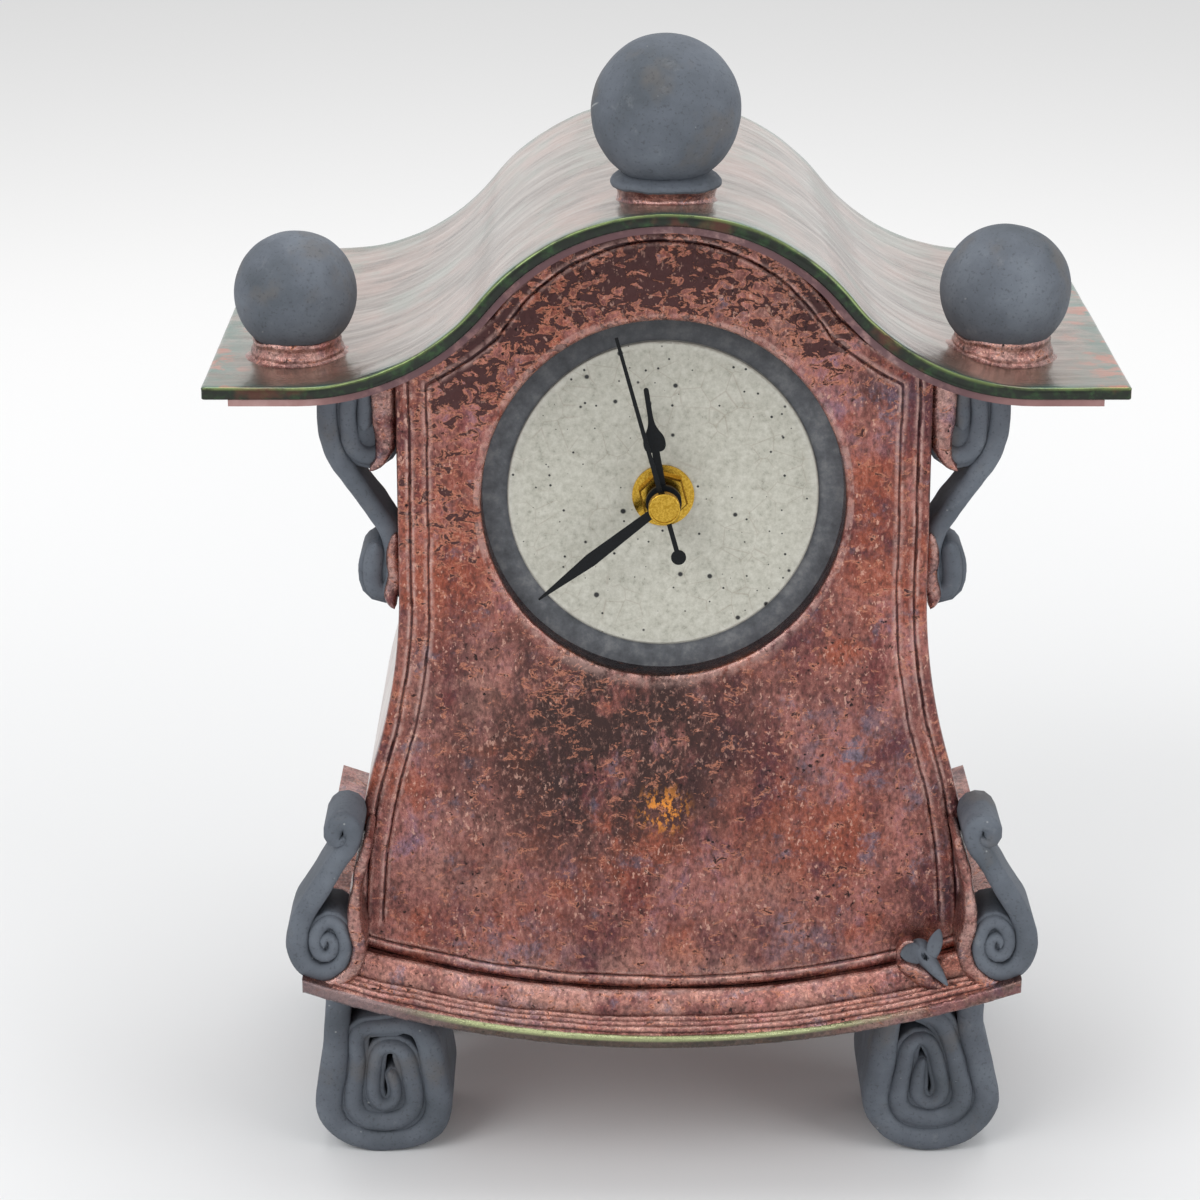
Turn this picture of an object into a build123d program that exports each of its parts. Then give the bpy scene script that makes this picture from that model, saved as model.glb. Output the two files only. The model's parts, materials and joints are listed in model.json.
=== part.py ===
"""Hand-built stoneware mantel clock with an ogee roof, clay balls, scroll brackets and a quartz movement.

Millimetres, +Z up, front towards -Y, origin on the floor under the middle of the bounding box.
"""
import os
from math import acos, asin, cos, degrees, radians, sin, sqrt

from build123d import *

# Overall
overall_depth = 163.5
overrun = 2.0
fit_gap = 0.05
running_gap = 0.06
wheel_spacing = 0.4

# Roof slab and its underlay: a crown arc runs into two flare arcs and flat wings
roof_width = 260.0
roof_depth = 157.0
roof_apex_height = 306.5
roof_wing_height = 257.0
roof_bell_reach = 103.5
roof_crown_share = 0.504
roof_thickness = 3.6
roof_edge_round = 0.8
underlay_width = 245.0
underlay_thickness = 1.9
underlay_front_inset = 0.8
underlay_back_inset = 6.0

# Body: slabs and side walls cut to one outline that flares towards the base
waist_width = 155.0
hem_width = 186.0
flare_top_drop = 67.0
flare_bottom_height = 85.0
slab_thickness = 9.0
back_slab_thickness = 7.0
back_slab_inset = 18.25
wall_thickness = 7.0
front_lean = 5.0
dial_drop = 41.0
slab_face_inset = 28.75
opening_radius = 53.0
opening_round = 1.8
access_radius = 50.0
access_drop = 52.0

# Base plate and base step, bent to one arc that is lowest in the middle
base_plate_width = 215.0
base_plate_depth = 157.0
base_plate_thickness = 4.2
base_bend_radius = 310.0
base_underside_height = 51.3
base_plate_round = 1.0
base_step_width = 194.0
base_step_thickness = 8.0
base_step_front_inset = 7.75
base_step_back_inset = 7.75
base_step_round = 2.5

# Balls on the roof
top_ball_diameter = 41.9
top_ball_setback = 24.75
top_collar_diameter = 31.0
top_collar_height = 5.6
left_ball_diameter = 35.3
left_ball_reach = 105.8
right_ball_diameter = 37.2
right_ball_reach = 97.6
side_ball_setback = 33.25
left_collar_diameter = 28.5
right_collar_diameter = 30.5
side_collar_height = 4.0
ball_seat_depth = 3.0
top_collar_sink = 2.5
collar_round = 1.2

# Upper scroll brackets, rolled from a clay strap
upper_rope_width = 5.3
upper_rope_gap = 0.6
upper_straight = 7.4
upper_half_turns = 3
upper_scroll_inset = 6.0
upper_scroll_depth = 16.0
upper_bite = 0.6
upper_tilt = 34.0
upper_turn_radius = 6.0
upper_scroll_drop = 75.0
upper_tail_length = 18.0

# Lower scrolls on the ends of the base plate
lower_rope_width = 6.2
lower_rope_gap = 0.3
lower_straight = 7.0
lower_half_turns = 2
lower_scroll_x = 99.1
lower_scroll_height = 84.2
lower_scroll_inset = 2.75
lower_scroll_depth = 21.0
lower_tilt = 31.0
lower_stem_length = 30.8
lower_hook_angle = 268.0

# Feet, rolled scrolls with a spiral groove in the end that faces out
foot_x = 85.5
foot_front_inset = 24.75
foot_rear_inset = 18.25
foot_depth = 40.0
foot_top_width = 36.0
foot_bottom_width = 46.0
foot_bottom_round = 17.0
foot_round = 2.0
foot_outer_band = 8.0
foot_band = 5.6
foot_groove_top = 7.0
foot_groove_width = 1.1
foot_groove_depth = 2.6
foot_groove_turns = 2
foot_groove_corner_share = 0.42

# Mouse head on the base step
mouse_x = 79.0
mouse_inset = 10.25
mouse_height = 77.5
mouse_head_length = 14.0
mouse_head_radius = 4.2
mouse_nose_radius = 0.9
mouse_ear_radius = 3.3
mouse_ear_thickness = 1.8
mouse_ear_spread = 4.2
mouse_ear_rise = 3.6
mouse_ear_tilt = 32.0
mouse_look = (0.30, -0.72, -0.62)

# Dial plate, set behind the slab
dial_radius = 59.0
dial_thickness = 6.0
dial_glaze_radius = 45.7
dial_glaze_height = 1.3
dial_glaze_round = 0.8

# Threaded bushing, gasket, washer and nut
bushing_radius = 3.9
bushing_front_depth = 0.5
bushing_flange_radius = 5.6
bushing_flange_thickness = 1.0
thread_pitch = 0.75
thread_depth = 0.35
gasket_radius = 14.0
gasket_thickness = 1.0
washer_radius = 9.1
washer_thickness = 0.8
nut_across_flats = 12.9
nut_thickness = 3.0
nut_angle = 15.0
nut_chamfer = 0.5

# Arbors and tubes on the clock's axis
seconds_arbor_radius = 0.6
minute_tube_radius = 1.5
hour_tube_radius = 2.5

# Hands; each rise is that of the hand's back face in front of the slab's face
hour_angle = 351.0
minute_angle = 231.8
second_angle = 344.3
hour_hand_rise = 1.2
minute_hand_rise = 3.4
second_hand_rise = 6.0
hour_hand_length = 34.3
hour_hand_thickness = 0.6
hour_hub_radius = 5.2
hour_hub_height = 2.2
hour_shank_root = 3.0
hour_shank_neck = 2.2
hour_bulb_radius = 3.2
hour_bulb_reach = 18.4
hour_neck_reach = 26.5
hour_tip_width = 1.5
minute_hand_length = 46.3
minute_hand_thickness = 0.6
minute_hub_radius = 3.6
minute_hub_height = 1.6
minute_root_width = 2.3
minute_blade_width = 3.9
minute_blade_reach = 27.0
minute_tip_width = 0.5
second_hand_length = 51.3
second_hand_thickness = 0.4
second_hub_radius = 2.2
second_hub_height = 1.4
second_root_width = 1.4
second_tip_width = 1.0
second_tail_reach = 15.8
second_weight_radius = 2.2
cap_radius = 4.6
cap_height = 3.0
cap_socket_depth = 1.2
cap_dish_depth = 0.6
cap_rim_width = 0.6
cap_round = 0.3

# Movement case and cover
case_width = 56.0
case_depth = 14.5
case_wall = 1.5
cover_thickness = 1.5
bay_wall_drop = 10.9
bay_wall_thickness = 1.0
pivot_inset = 0.3

# Gear train: teeth, and the distance of each arbor from the clock's axis
gear_thickness = 1.0
pinion_thickness = 1.2
arbor_radius = 0.6
setting_arbor_radius = 1.0
rotor_arbor_radius = 0.5
hour_wheel_teeth = 40
minute_work_pinion_teeth = 10
minute_work_teeth = 36
cannon_teeth = 12
centre_wheel_teeth = 64
third_pinion_teeth = 8
third_wheel_teeth = 60
seconds_pinion_teeth = 8
seconds_wheel_teeth = 60
fifth_pinion_teeth = 10
fifth_wheel_teeth = 60
rotor_pinion_teeth = 12
minute_work_distance = 12.0
third_distance = 11.5
fifth_distance = 12.0
rotor_distance = 9.0
minute_work_angle = 0.0
third_angle = 180.0
fifth_angle = 90.0
rotor_angle = 48.0
tooth_addendum_share = 0.8
tooth_dedendum_share = 1.2
tooth_root_share = 0.26
tooth_tip_share = 0.1
magnet_radius = 3.5
magnet_thickness = 4.0

# Stator, coil and circuit
stator_thickness = 1.2
stator_gap = 0.6
stator_width = 20.0
stator_height = 10.0
stator_post_radius = 1.5
coil_core_length = 19.0
coil_core_height = 3.0
coil_length = 13.0
coil_radius = 3.5
board_width = 12.0
board_height = 20.0
board_thickness = 1.0
crystal_radius = 1.0
crystal_length = 6.0

# Cell, contacts and setting knob
cell_radius = 7.1
cell_length = 49.9
cell_nub_radius = 2.7
cell_nub_length = 1.3
cell_clearance = 0.3
contact_thickness = 0.4
contact_height = 9.0
contact_reach = 10.0
knob_radius = 8.0
knob_thickness = 3.6
knob_lift = 0.4
knob_notches = 24
knob_notch_radius = 0.7

# Derived places
roof_back_y = overall_depth / 2
roof_front_y = roof_back_y - roof_depth
base_front_y = -overall_depth / 2
base_back_y = base_front_y + base_plate_depth
slab_face_y = base_front_y + slab_face_inset
back_slab_face_y = base_back_y - back_slab_inset
top_ball_y = roof_front_y + top_ball_setback
side_ball_y = roof_front_y + side_ball_setback
upper_scroll_front_y = slab_face_y + upper_scroll_inset
upper_tail_height = roof_wing_height - upper_scroll_drop
lower_scroll_front_y = base_front_y + lower_scroll_inset
foot_front_y = base_front_y + foot_front_inset
foot_rear_y = base_back_y - foot_rear_inset
mouse_y = base_front_y + mouse_inset
roof_rise = roof_apex_height - roof_wing_height
ogee_radii = (roof_bell_reach**2 + roof_rise**2) / (2 * roof_rise)
ogee_angle = degrees(acos(1 - roof_rise / ogee_radii))
roof_crown_radius = roof_crown_share * ogee_radii
roof_flare_radius = ogee_radii - roof_crown_radius
flare_top_height = roof_wing_height - flare_top_drop
dial_height = roof_wing_height - dial_drop
access_height = roof_wing_height - access_drop
body_top_drop = roof_thickness + underlay_thickness
hem_bulge = (hem_width - waist_width) / 4
hem_fall = (flare_top_height - flare_bottom_height) / 2
hem_radius = (hem_fall**2 + hem_bulge**2) / (2 * hem_bulge)
hem_angle = degrees(asin(hem_fall / hem_radius))
base_centre_height = base_underside_height + base_plate_thickness + base_bend_radius
base_under_radius = base_bend_radius + base_plate_thickness
base_top_radius = base_bend_radius - base_step_thickness
dial_back_depth = slab_thickness + dial_thickness
glaze_depth = slab_thickness - dial_glaze_height
nut_back_depth = glaze_depth - washer_thickness
nut_front_depth = nut_back_depth - nut_thickness
case_front_depth = dial_back_depth + gasket_thickness
case_inner_depth = case_front_depth + case_wall
case_back_depth = case_front_depth + case_depth
cover_back_depth = case_back_depth + cover_thickness
bushing_bore = hour_tube_radius + running_gap
bay_wall_height = -bay_wall_drop
hour_hand_depth = -hour_hand_rise
minute_hand_depth = -minute_hand_rise
second_hand_depth = -second_hand_rise

# Layers of the train, from the dial towards the back
hour_layer = case_inner_depth + bushing_flange_thickness + wheel_spacing + gear_thickness
cannon_layer = hour_layer + wheel_spacing + gear_thickness
centre_layer = cannon_layer + wheel_spacing + gear_thickness
third_layer = centre_layer + wheel_spacing + pinion_thickness
seconds_layer = third_layer + wheel_spacing + gear_thickness
fifth_layer = seconds_layer + wheel_spacing + gear_thickness

# Modules follow from the arbor distances
hour_module = 2 * minute_work_distance / (hour_wheel_teeth + minute_work_pinion_teeth)
cannon_module = 2 * minute_work_distance / (minute_work_teeth + cannon_teeth)
centre_module = 2 * third_distance / (centre_wheel_teeth + third_pinion_teeth)
third_module = 2 * third_distance / (third_wheel_teeth + seconds_pinion_teeth)
seconds_module = 2 * fifth_distance / (seconds_wheel_teeth + fifth_pinion_teeth)
fifth_module = 2 * rotor_distance / (fifth_wheel_teeth + rotor_pinion_teeth)


def polar(distance, bearing):
    return Vector(distance * cos(radians(bearing)), distance * sin(radians(bearing)))


minute_work_at = polar(minute_work_distance, minute_work_angle)
third_at = polar(third_distance, third_angle)
fifth_at = polar(fifth_distance, fifth_angle)
rotor_at = fifth_at + polar(rotor_distance, rotor_angle)

# The slab's own directions: out of its face, and up along it
lean_sin = sin(radians(front_lean))
lean_cos = cos(radians(front_lean))
slab_out = Vector(0, -lean_cos, lean_sin)
slab_up = Vector(0, lean_sin, lean_cos)
axis_point = Vector(0, slab_face_y, dial_height)


def upright(y):
    """Plane that faces the front at depth y, with X across and Z up."""
    return Plane.XZ.offset(-y)


def dial_point(depth, at=Vector(0, 0)):
    """Place behind the slab's face by depth, moved along the face from the clock's axis."""
    return axis_point - slab_out * depth + Vector(1, 0, 0) * at.X + slab_up * at.Y


def dial_plane(depth, at=Vector(0, 0), clock_angle=0.0):
    """Plane parallel to the slab's face through that place, turned clockwise from twelve."""
    across = Vector(1, 0, 0) * cos(radians(clock_angle)) - slab_up * sin(radians(clock_angle))
    return Plane(origin=dial_point(depth, at), x_dir=across, z_dir=slab_out)


def sided(side, place):
    """Point on one side of the clock, for a place whose X counts outwards from the middle."""
    return side * place.X, place.Y


def ogee_curve(drop, reach):
    """The roof's curve, lowered square to itself by drop, from wing end to wing end."""
    crown = roof_crown_radius - drop
    flare = roof_flare_radius + drop
    crown_centre = Vector(0, roof_apex_height - roof_crown_radius)
    wing = roof_wing_height - drop
    joint = crown_centre + polar(crown, 90 - ogee_angle)
    ThreePointArc((-joint.X, joint.Y), (0, crown_centre.Y + crown), (joint.X, joint.Y))
    for side in (-1, 1):
        flare_centre = Vector(roof_bell_reach, roof_wing_height + roof_flare_radius)
        middle = flare_centre - polar(flare, 90 - ogee_angle / 2)
        ThreePointArc(sided(side, joint), sided(side, middle), (side * roof_bell_reach, wing))
        Line((side * roof_bell_reach, wing), (side * reach, wing))


def ogee_layer(top_drop, bottom_drop, reach):
    """Outline of one roof layer."""
    ogee_curve(top_drop, reach)
    ogee_curve(bottom_drop, reach)
    for side in (-1, 1):
        Line((side * reach, roof_wing_height - top_drop), (side * reach, roof_wing_height - bottom_drop))


def side_curve(side, inset, bottom):
    """One side of the body's outline, moved in by inset: straight, a flare of two arcs, straight."""
    upper_centre = Vector(waist_width / 2 + hem_radius, flare_top_height)
    lower_centre = Vector(hem_width / 2 - hem_radius, flare_bottom_height)
    upper = hem_radius + inset
    lower = hem_radius - inset
    start = upper_centre - polar(upper, 0)
    upper_middle = upper_centre - polar(upper, hem_angle / 2)
    joint = upper_centre - polar(upper, hem_angle)
    lower_middle = lower_centre + polar(lower, hem_angle / 2)
    finish = lower_centre + polar(lower, 0)
    Line((side * start.X, roof_apex_height), sided(side, start))
    ThreePointArc(sided(side, start), sided(side, upper_middle), sided(side, joint))
    ThreePointArc(sided(side, joint), sided(side, lower_middle), sided(side, finish))
    Line(sided(side, finish), (side * finish.X, bottom))


def base_height(radius, x):
    """Height of the base's arc of that radius at x."""
    return base_centre_height - sqrt(radius**2 - x**2)


def base_arc(radius, left, right):
    """Arc of the bent base between two places along X."""
    middle = (left + right) / 2
    ends = [(x, base_height(radius, x)) for x in (left, right)]
    ThreePointArc(ends[0], (middle, base_height(radius, middle)), ends[1])


def base_layer(top_radius, bottom_radius, reach):
    """Outline of one layer of the bent base."""
    base_arc(top_radius, -reach, reach)
    base_arc(bottom_radius, -reach, reach)
    top = base_height(top_radius, reach)
    bottom = base_height(bottom_radius, reach)
    for side in (-1, 1):
        Line((side * reach, top), (side * reach, bottom))


def cut_under_roof():
    """Take everything above the roof underlay's underside out of the sketch."""
    sky = roof_apex_height + overrun
    reach = roof_width / 2
    with BuildLine() as sky_outline:
        ogee_curve(body_top_drop, reach)
        for side in (-1, 1):
            Line((side * reach, roof_wing_height - body_top_drop), (side * reach, sky))
        Line((-reach, sky), (reach, sky))
    make_face(sky_outline.edges(), mode=Mode.SUBTRACT)


def body_outline():
    """The slabs' shape: ogee top, flared sides, arc at the bottom."""
    reach = hem_width / 2
    with BuildLine() as outline:
        for side in (-1, 1):
            side_curve(side, 0, base_height(base_top_radius, reach))
        Line((-waist_width / 2, roof_apex_height), (waist_width / 2, roof_apex_height))
        base_arc(base_top_radius, -reach, reach)
    make_face(outline.edges())
    cut_under_roof()


def wall_outline(side):
    """One side wall seen from the front, between the outline and the same curve moved in."""
    outer = hem_width / 2
    inner = outer - wall_thickness
    waist = waist_width / 2
    with BuildLine() as outline:
        side_curve(side, 0, base_height(base_top_radius, outer))
        side_curve(side, wall_thickness, base_height(base_top_radius, inner))
        Line((side * waist, roof_apex_height), (side * (waist - wall_thickness), roof_apex_height))
        base_arc(base_top_radius, side * inner, side * outer)
    make_face(outline.edges())
    cut_under_roof()


def coil(side, core, rope, gap, straight, half_turns, start):
    """Flattened coil from its core out: half circles, each wider by half a pitch, joined by upright runs.

    core.X counts outwards from the clock's middle. The coil starts on its outer side where start is 1.
    Returns where it ends, and the radius that its next half circle would have.
    """
    half_pitch = (rope + gap) / 2
    reach = core.X + start * half_pitch
    way = -start
    for turn in range(half_turns):
        radius = half_pitch * (turn + 1)
        upward = 1 if turn % 2 == 0 else -1
        level = core.Y + upward * straight / 2
        end = reach + way * 2 * radius
        peak = (side * (reach + way * radius), level + upward * radius)
        ThreePointArc((side * reach, level), peak, (side * end, level))
        Line((side * end, level), (side * end, level - upward * straight))
        reach = end
        way = -way
    return Vector(reach, level - upward * straight), half_pitch * (half_turns + 1)


def bend(side, centre, radius, first, last):
    """Arc about a centre that counts outwards from the clock's middle."""
    places = [centre + polar(radius, bearing) for bearing in (first, (first + last) / 2, last)]
    ThreePointArc(*[sided(side, place) for place in places])
    return places[-1]


def upper_scroll_path(side):
    """Volute under the wing, a strap slanting in to the wall and a hairpin down the wall."""
    half_pitch = (upper_rope_width + upper_rope_gap) / 2
    wall = waist_width / 2 - upper_bite
    coil_reach = upper_half_turns * half_pitch + upper_rope_width / 2
    core_height = roof_wing_height - body_top_drop + upper_bite - coil_reach - upper_straight / 2
    core = Vector(wall + coil_reach, core_height)
    end, radius = coil(side, core, upper_rope_width, upper_rope_gap, upper_straight, upper_half_turns, -1)
    slant_start = bend(side, end - Vector(radius, 0), radius, 0, -upper_tilt)
    run = wall + upper_rope_width / 2
    turn_centre_x = run + upper_turn_radius
    slant_end_x = turn_centre_x - upper_turn_radius * cos(radians(upper_tilt))
    fall = (slant_start.X - slant_end_x) / sin(radians(upper_tilt)) * cos(radians(upper_tilt))
    turn_centre_y = slant_start.Y - fall - upper_turn_radius * sin(radians(upper_tilt))
    turn_centre = Vector(turn_centre_x, turn_centre_y)
    slant_end = turn_centre + polar(upper_turn_radius, 180 - upper_tilt)
    Line(sided(side, slant_start), sided(side, slant_end))
    bend(side, turn_centre, upper_turn_radius, 180 - upper_tilt, 180)
    tail = upper_tail_height + upper_rope_width / 2 + half_pitch
    Line((side * run, turn_centre.Y), (side * run, tail))
    hairpin_end = bend(side, Vector(run + half_pitch, tail), half_pitch, 180, 360)
    Line(sided(side, hairpin_end), (side * hairpin_end.X, upper_tail_height + upper_tail_length))


def lower_scroll_path(side):
    """Coil on the base plate, a stem slanting in and a hook at its top."""
    core = Vector(lower_scroll_x, lower_scroll_height)
    end, radius = coil(side, core, lower_rope_width, lower_rope_gap, lower_straight, lower_half_turns, 1)
    stem_start = bend(side, end - Vector(radius, 0), radius, 0, lower_tilt)
    stem_end = stem_start + polar(lower_stem_length, 90 + lower_tilt)
    Line(sided(side, stem_start), sided(side, stem_end))
    hook_radius = (lower_rope_width + lower_rope_gap) / 2
    hook_centre = stem_end + polar(hook_radius, lower_tilt)
    bend(side, hook_centre, hook_radius, 180 + lower_tilt, 180 + lower_tilt - lower_hook_angle)


def foot_half_width(z):
    """Half of the foot's width at a height, before its bottom is rounded."""
    top = base_height(base_under_radius, foot_x)
    return foot_bottom_width / 2 + (foot_top_width - foot_bottom_width) / 2 * z / top


def foot_outline():
    """Front of the left foot: tapered sides, a rounded bottom, its top bent to the base plate."""
    reach = foot_top_width / 2
    left, right = -foot_x - reach, -foot_x + reach
    bottom = foot_bottom_width / 2
    with BuildLine() as outline:
        base_arc(base_under_radius, left, right)
        Line((left, base_height(base_under_radius, left)), (-foot_x - bottom, 0))
        Line((-foot_x - bottom, 0), (-foot_x + bottom, 0))
        Line((-foot_x + bottom, 0), (right, base_height(base_under_radius, right)))
    make_face(outline.edges())


def foot_groove():
    """Spiral groove of the left foot from its outer top inwards, a rounded corner at each turn."""
    top = base_height(base_under_radius, foot_x)
    inset = foot_outer_band
    corners = [(-foot_x - foot_half_width(top) + inset, top)]
    rounds = []
    for turn in range(foot_groove_turns):
        high = top - foot_groove_top - turn * foot_band
        low_reach = foot_half_width(inset) - inset
        high_reach = foot_half_width(high) - inset
        corners.append((-foot_x - low_reach, inset))
        corners.append((-foot_x + low_reach, inset))
        corners.append((-foot_x + high_reach, high))
        corners.append((-foot_x - high_reach + foot_band, high))
        rounds += [2 * low_reach * foot_groove_corner_share] * 2
        rounds += [(2 * high_reach - foot_band) * foot_groove_corner_share] * 2
        inset += foot_band
    corners.append((-foot_x - foot_half_width(inset) + inset, inset))
    FilletPolyline(*corners, radius=rounds)


def gear(teeth, module, phase):
    """Toothed outline about the sketch's origin, with a tooth at the bearing phase."""
    pitch = 360 / teeth
    root = module * (teeth / 2 - tooth_dedendum_share)
    tip = module * (teeth / 2 + tooth_addendum_share)
    points = []
    for tooth in range(teeth):
        middle = phase + tooth * pitch
        points.append(polar(root, middle - tooth_root_share * pitch))
        points.append(polar(tip, middle - tooth_tip_share * pitch))
        points.append(polar(tip, middle + tooth_tip_share * pitch))
        points.append(polar(root, middle + tooth_root_share * pitch))
    with BuildLine() as outline:
        Polyline(*points, close=True)
    make_face(outline.edges())


def disc(radius, front, back, at=Vector(0, 0), mode=Mode.ADD):
    """Round slice of a turned piece between two depths behind the slab's face."""
    with BuildSketch(dial_plane(back, at)) as profile:
        Circle(radius)
    extrude(profile.sketch, amount=back - front, mode=mode)


def toothed(teeth, module, phase, back, thickness, at=Vector(0, 0)):
    """Gear slice whose back face lies at that depth."""
    with BuildSketch(dial_plane(back, at)) as profile:
        gear(teeth, module, phase)
    extrude(profile.sketch, amount=thickness)


def arbor(radius, at):
    """Arbor that runs from the case's front wall to the cover."""
    disc(radius, case_front_depth + pivot_inset, cover_back_depth - pivot_inset, at)


def keep(piece, label):
    """Name a finished piece and write it."""
    piece.part.label = label
    export_step(piece.part, f"parts/{label}.step")


os.makedirs("parts", exist_ok=True)

# Roof
with BuildPart() as roof_slab:
    with BuildSketch(upright(roof_back_y)):
        with BuildLine():
            ogee_layer(0, roof_thickness, roof_width / 2)
        make_face()
    extrude(amount=roof_depth)
    fillet(roof_slab.faces().sort_by(Axis.Y)[0].edges(), roof_edge_round)
keep(roof_slab, "roof_slab")

with BuildPart() as roof_underlay:
    with BuildSketch(upright(roof_back_y - underlay_back_inset)):
        with BuildLine():
            ogee_layer(roof_thickness, body_top_drop, underlay_width / 2)
        make_face()
    extrude(amount=roof_depth - underlay_back_inset - underlay_front_inset)
keep(roof_underlay, "roof_underlay")

# Base
with BuildPart() as base_plate:
    with BuildSketch(upright(base_back_y)):
        with BuildLine():
            base_layer(base_bend_radius, base_under_radius, base_plate_width / 2)
        make_face()
    extrude(amount=base_plate_depth)
    fillet(base_plate.faces().sort_by(Axis.Y)[0].edges(), base_plate_round)
keep(base_plate, "base_plate")

with BuildPart() as base_step:
    with BuildSketch(upright(base_back_y - base_step_back_inset)):
        with BuildLine():
            base_layer(base_top_radius, base_bend_radius, base_step_width / 2)
        make_face()
    extrude(amount=base_plate_depth - base_step_back_inset - base_step_front_inset)
    front_arcs = base_step.faces().sort_by(Axis.Y)[0].edges().filter_by(GeomType.CIRCLE)
    fillet(front_arcs.sort_by(Axis.Z)[-1], base_step_round)
keep(base_step, "base_step")

# Body
with BuildPart() as front_slab:
    with BuildSketch(upright(back_slab_face_y)):
        body_outline()
    extrude(amount=back_slab_face_y - base_front_y)
    split(bisect_by=dial_plane(0), keep=Keep.BOTTOM)
    split(bisect_by=dial_plane(slab_thickness), keep=Keep.TOP)
    disc(opening_radius, -overrun, slab_thickness + overrun, mode=Mode.SUBTRACT)
    fillet(front_slab.edges().filter_by(GeomType.CIRCLE).sort_by(Axis.Y)[0], opening_round)
keep(front_slab, "front_slab")

with BuildPart() as back_slab:
    with BuildSketch(upright(back_slab_face_y)):
        body_outline()
        with Locations((0, access_height)):
            Circle(access_radius, mode=Mode.SUBTRACT)
    extrude(amount=back_slab_thickness)
keep(back_slab, "back_slab")

side_names = {-1: "left", 1: "right"}
side_walls = {}
for side, name in side_names.items():
    with BuildPart() as side_wall:
        with BuildSketch(upright(back_slab_face_y - back_slab_thickness)):
            wall_outline(side)
        extrude(amount=back_slab_face_y - back_slab_thickness - base_front_y)
        split(bisect_by=dial_plane(slab_thickness), keep=Keep.BOTTOM)
    keep(side_wall, f"side_wall_{name}")
    side_walls[side] = side_wall.part

# Balls: each collar is bedded on the roof, each ball on its collar
top_seat = Vector(0, top_ball_y, roof_apex_height)
left_seat = Vector(-left_ball_reach, side_ball_y, roof_wing_height)
right_seat = Vector(right_ball_reach, side_ball_y, roof_wing_height)
for label, seat, diameter, collar_diameter, collar_height, sink in (
    ("top_ball", top_seat, top_ball_diameter, top_collar_diameter, top_collar_height, top_collar_sink),
    ("left_ball", left_seat, left_ball_diameter, left_collar_diameter, side_collar_height, 0),
    ("right_ball", right_seat, right_ball_diameter, right_collar_diameter, side_collar_height, 0),
):
    with BuildPart() as collar:
        with BuildSketch(Plane(origin=seat - Vector(0, 0, sink))):
            Circle(collar_diameter / 2)
        extrude(amount=sink + collar_height)
        fillet(collar.edges().sort_by(Axis.Z)[-1], collar_round)
        add(roof_slab.part, mode=Mode.SUBTRACT)
    keep(collar, f"{label}_collar")
    with BuildPart() as ball:
        with Locations(seat + Vector(0, 0, collar_height - ball_seat_depth + diameter / 2)):
            Sphere(diameter / 2)
        add(collar.part, mode=Mode.SUBTRACT)
    keep(ball, label)

# Scrolls
lower_scrolls = {}
for side, name in side_names.items():
    with BuildPart() as upper_scroll:
        with BuildSketch(upright(upper_scroll_front_y + upper_scroll_depth)):
            with BuildLine():
                upper_scroll_path(side)
            trace(line_width=upper_rope_width)
        extrude(amount=upper_scroll_depth)
        for neighbour in (roof_underlay.part, front_slab.part, side_walls[side]):
            add(neighbour, mode=Mode.SUBTRACT)
    keep(upper_scroll, f"upper_scroll_{name}")

    with BuildPart() as lower_scroll:
        with BuildSketch(upright(lower_scroll_front_y + lower_scroll_depth)):
            with BuildLine():
                lower_scroll_path(side)
            trace(line_width=lower_rope_width)
        extrude(amount=lower_scroll_depth)
        for neighbour in (base_plate.part, base_step.part, front_slab.part, side_walls[side]):
            add(neighbour, mode=Mode.SUBTRACT)
    keep(lower_scroll, f"lower_scroll_{name}")
    lower_scrolls[side] = lower_scroll.part

# Feet: the left front foot, and its mirror images
feet_middle = upright((foot_front_y + foot_rear_y) / 2)
with BuildPart() as left_foot:
    with BuildSketch(upright(foot_front_y + foot_depth)):
        foot_outline()
    extrude(amount=foot_depth)
    fillet(left_foot.edges().filter_by(Axis.Y).group_by(Axis.Z)[0], foot_bottom_round)
    fillet(left_foot.faces().sort_by(Axis.Y)[0].edges().filter_by(GeomType.LINE), foot_round)
    with BuildSketch(upright(foot_front_y)):
        with BuildLine():
            foot_groove()
        trace(line_width=foot_groove_width)
    extrude(amount=-foot_groove_depth, mode=Mode.SUBTRACT)
for label, planes in (
    ("foot_front_left", []),
    ("foot_front_right", [Plane.YZ]),
    ("foot_rear_left", [feet_middle]),
    ("foot_rear_right", [Plane.YZ, feet_middle]),
):
    with BuildPart() as foot:
        shape = left_foot.part
        for plane in planes:
            shape = shape.mirror(plane)
        add(shape)
    keep(foot, label)

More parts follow.
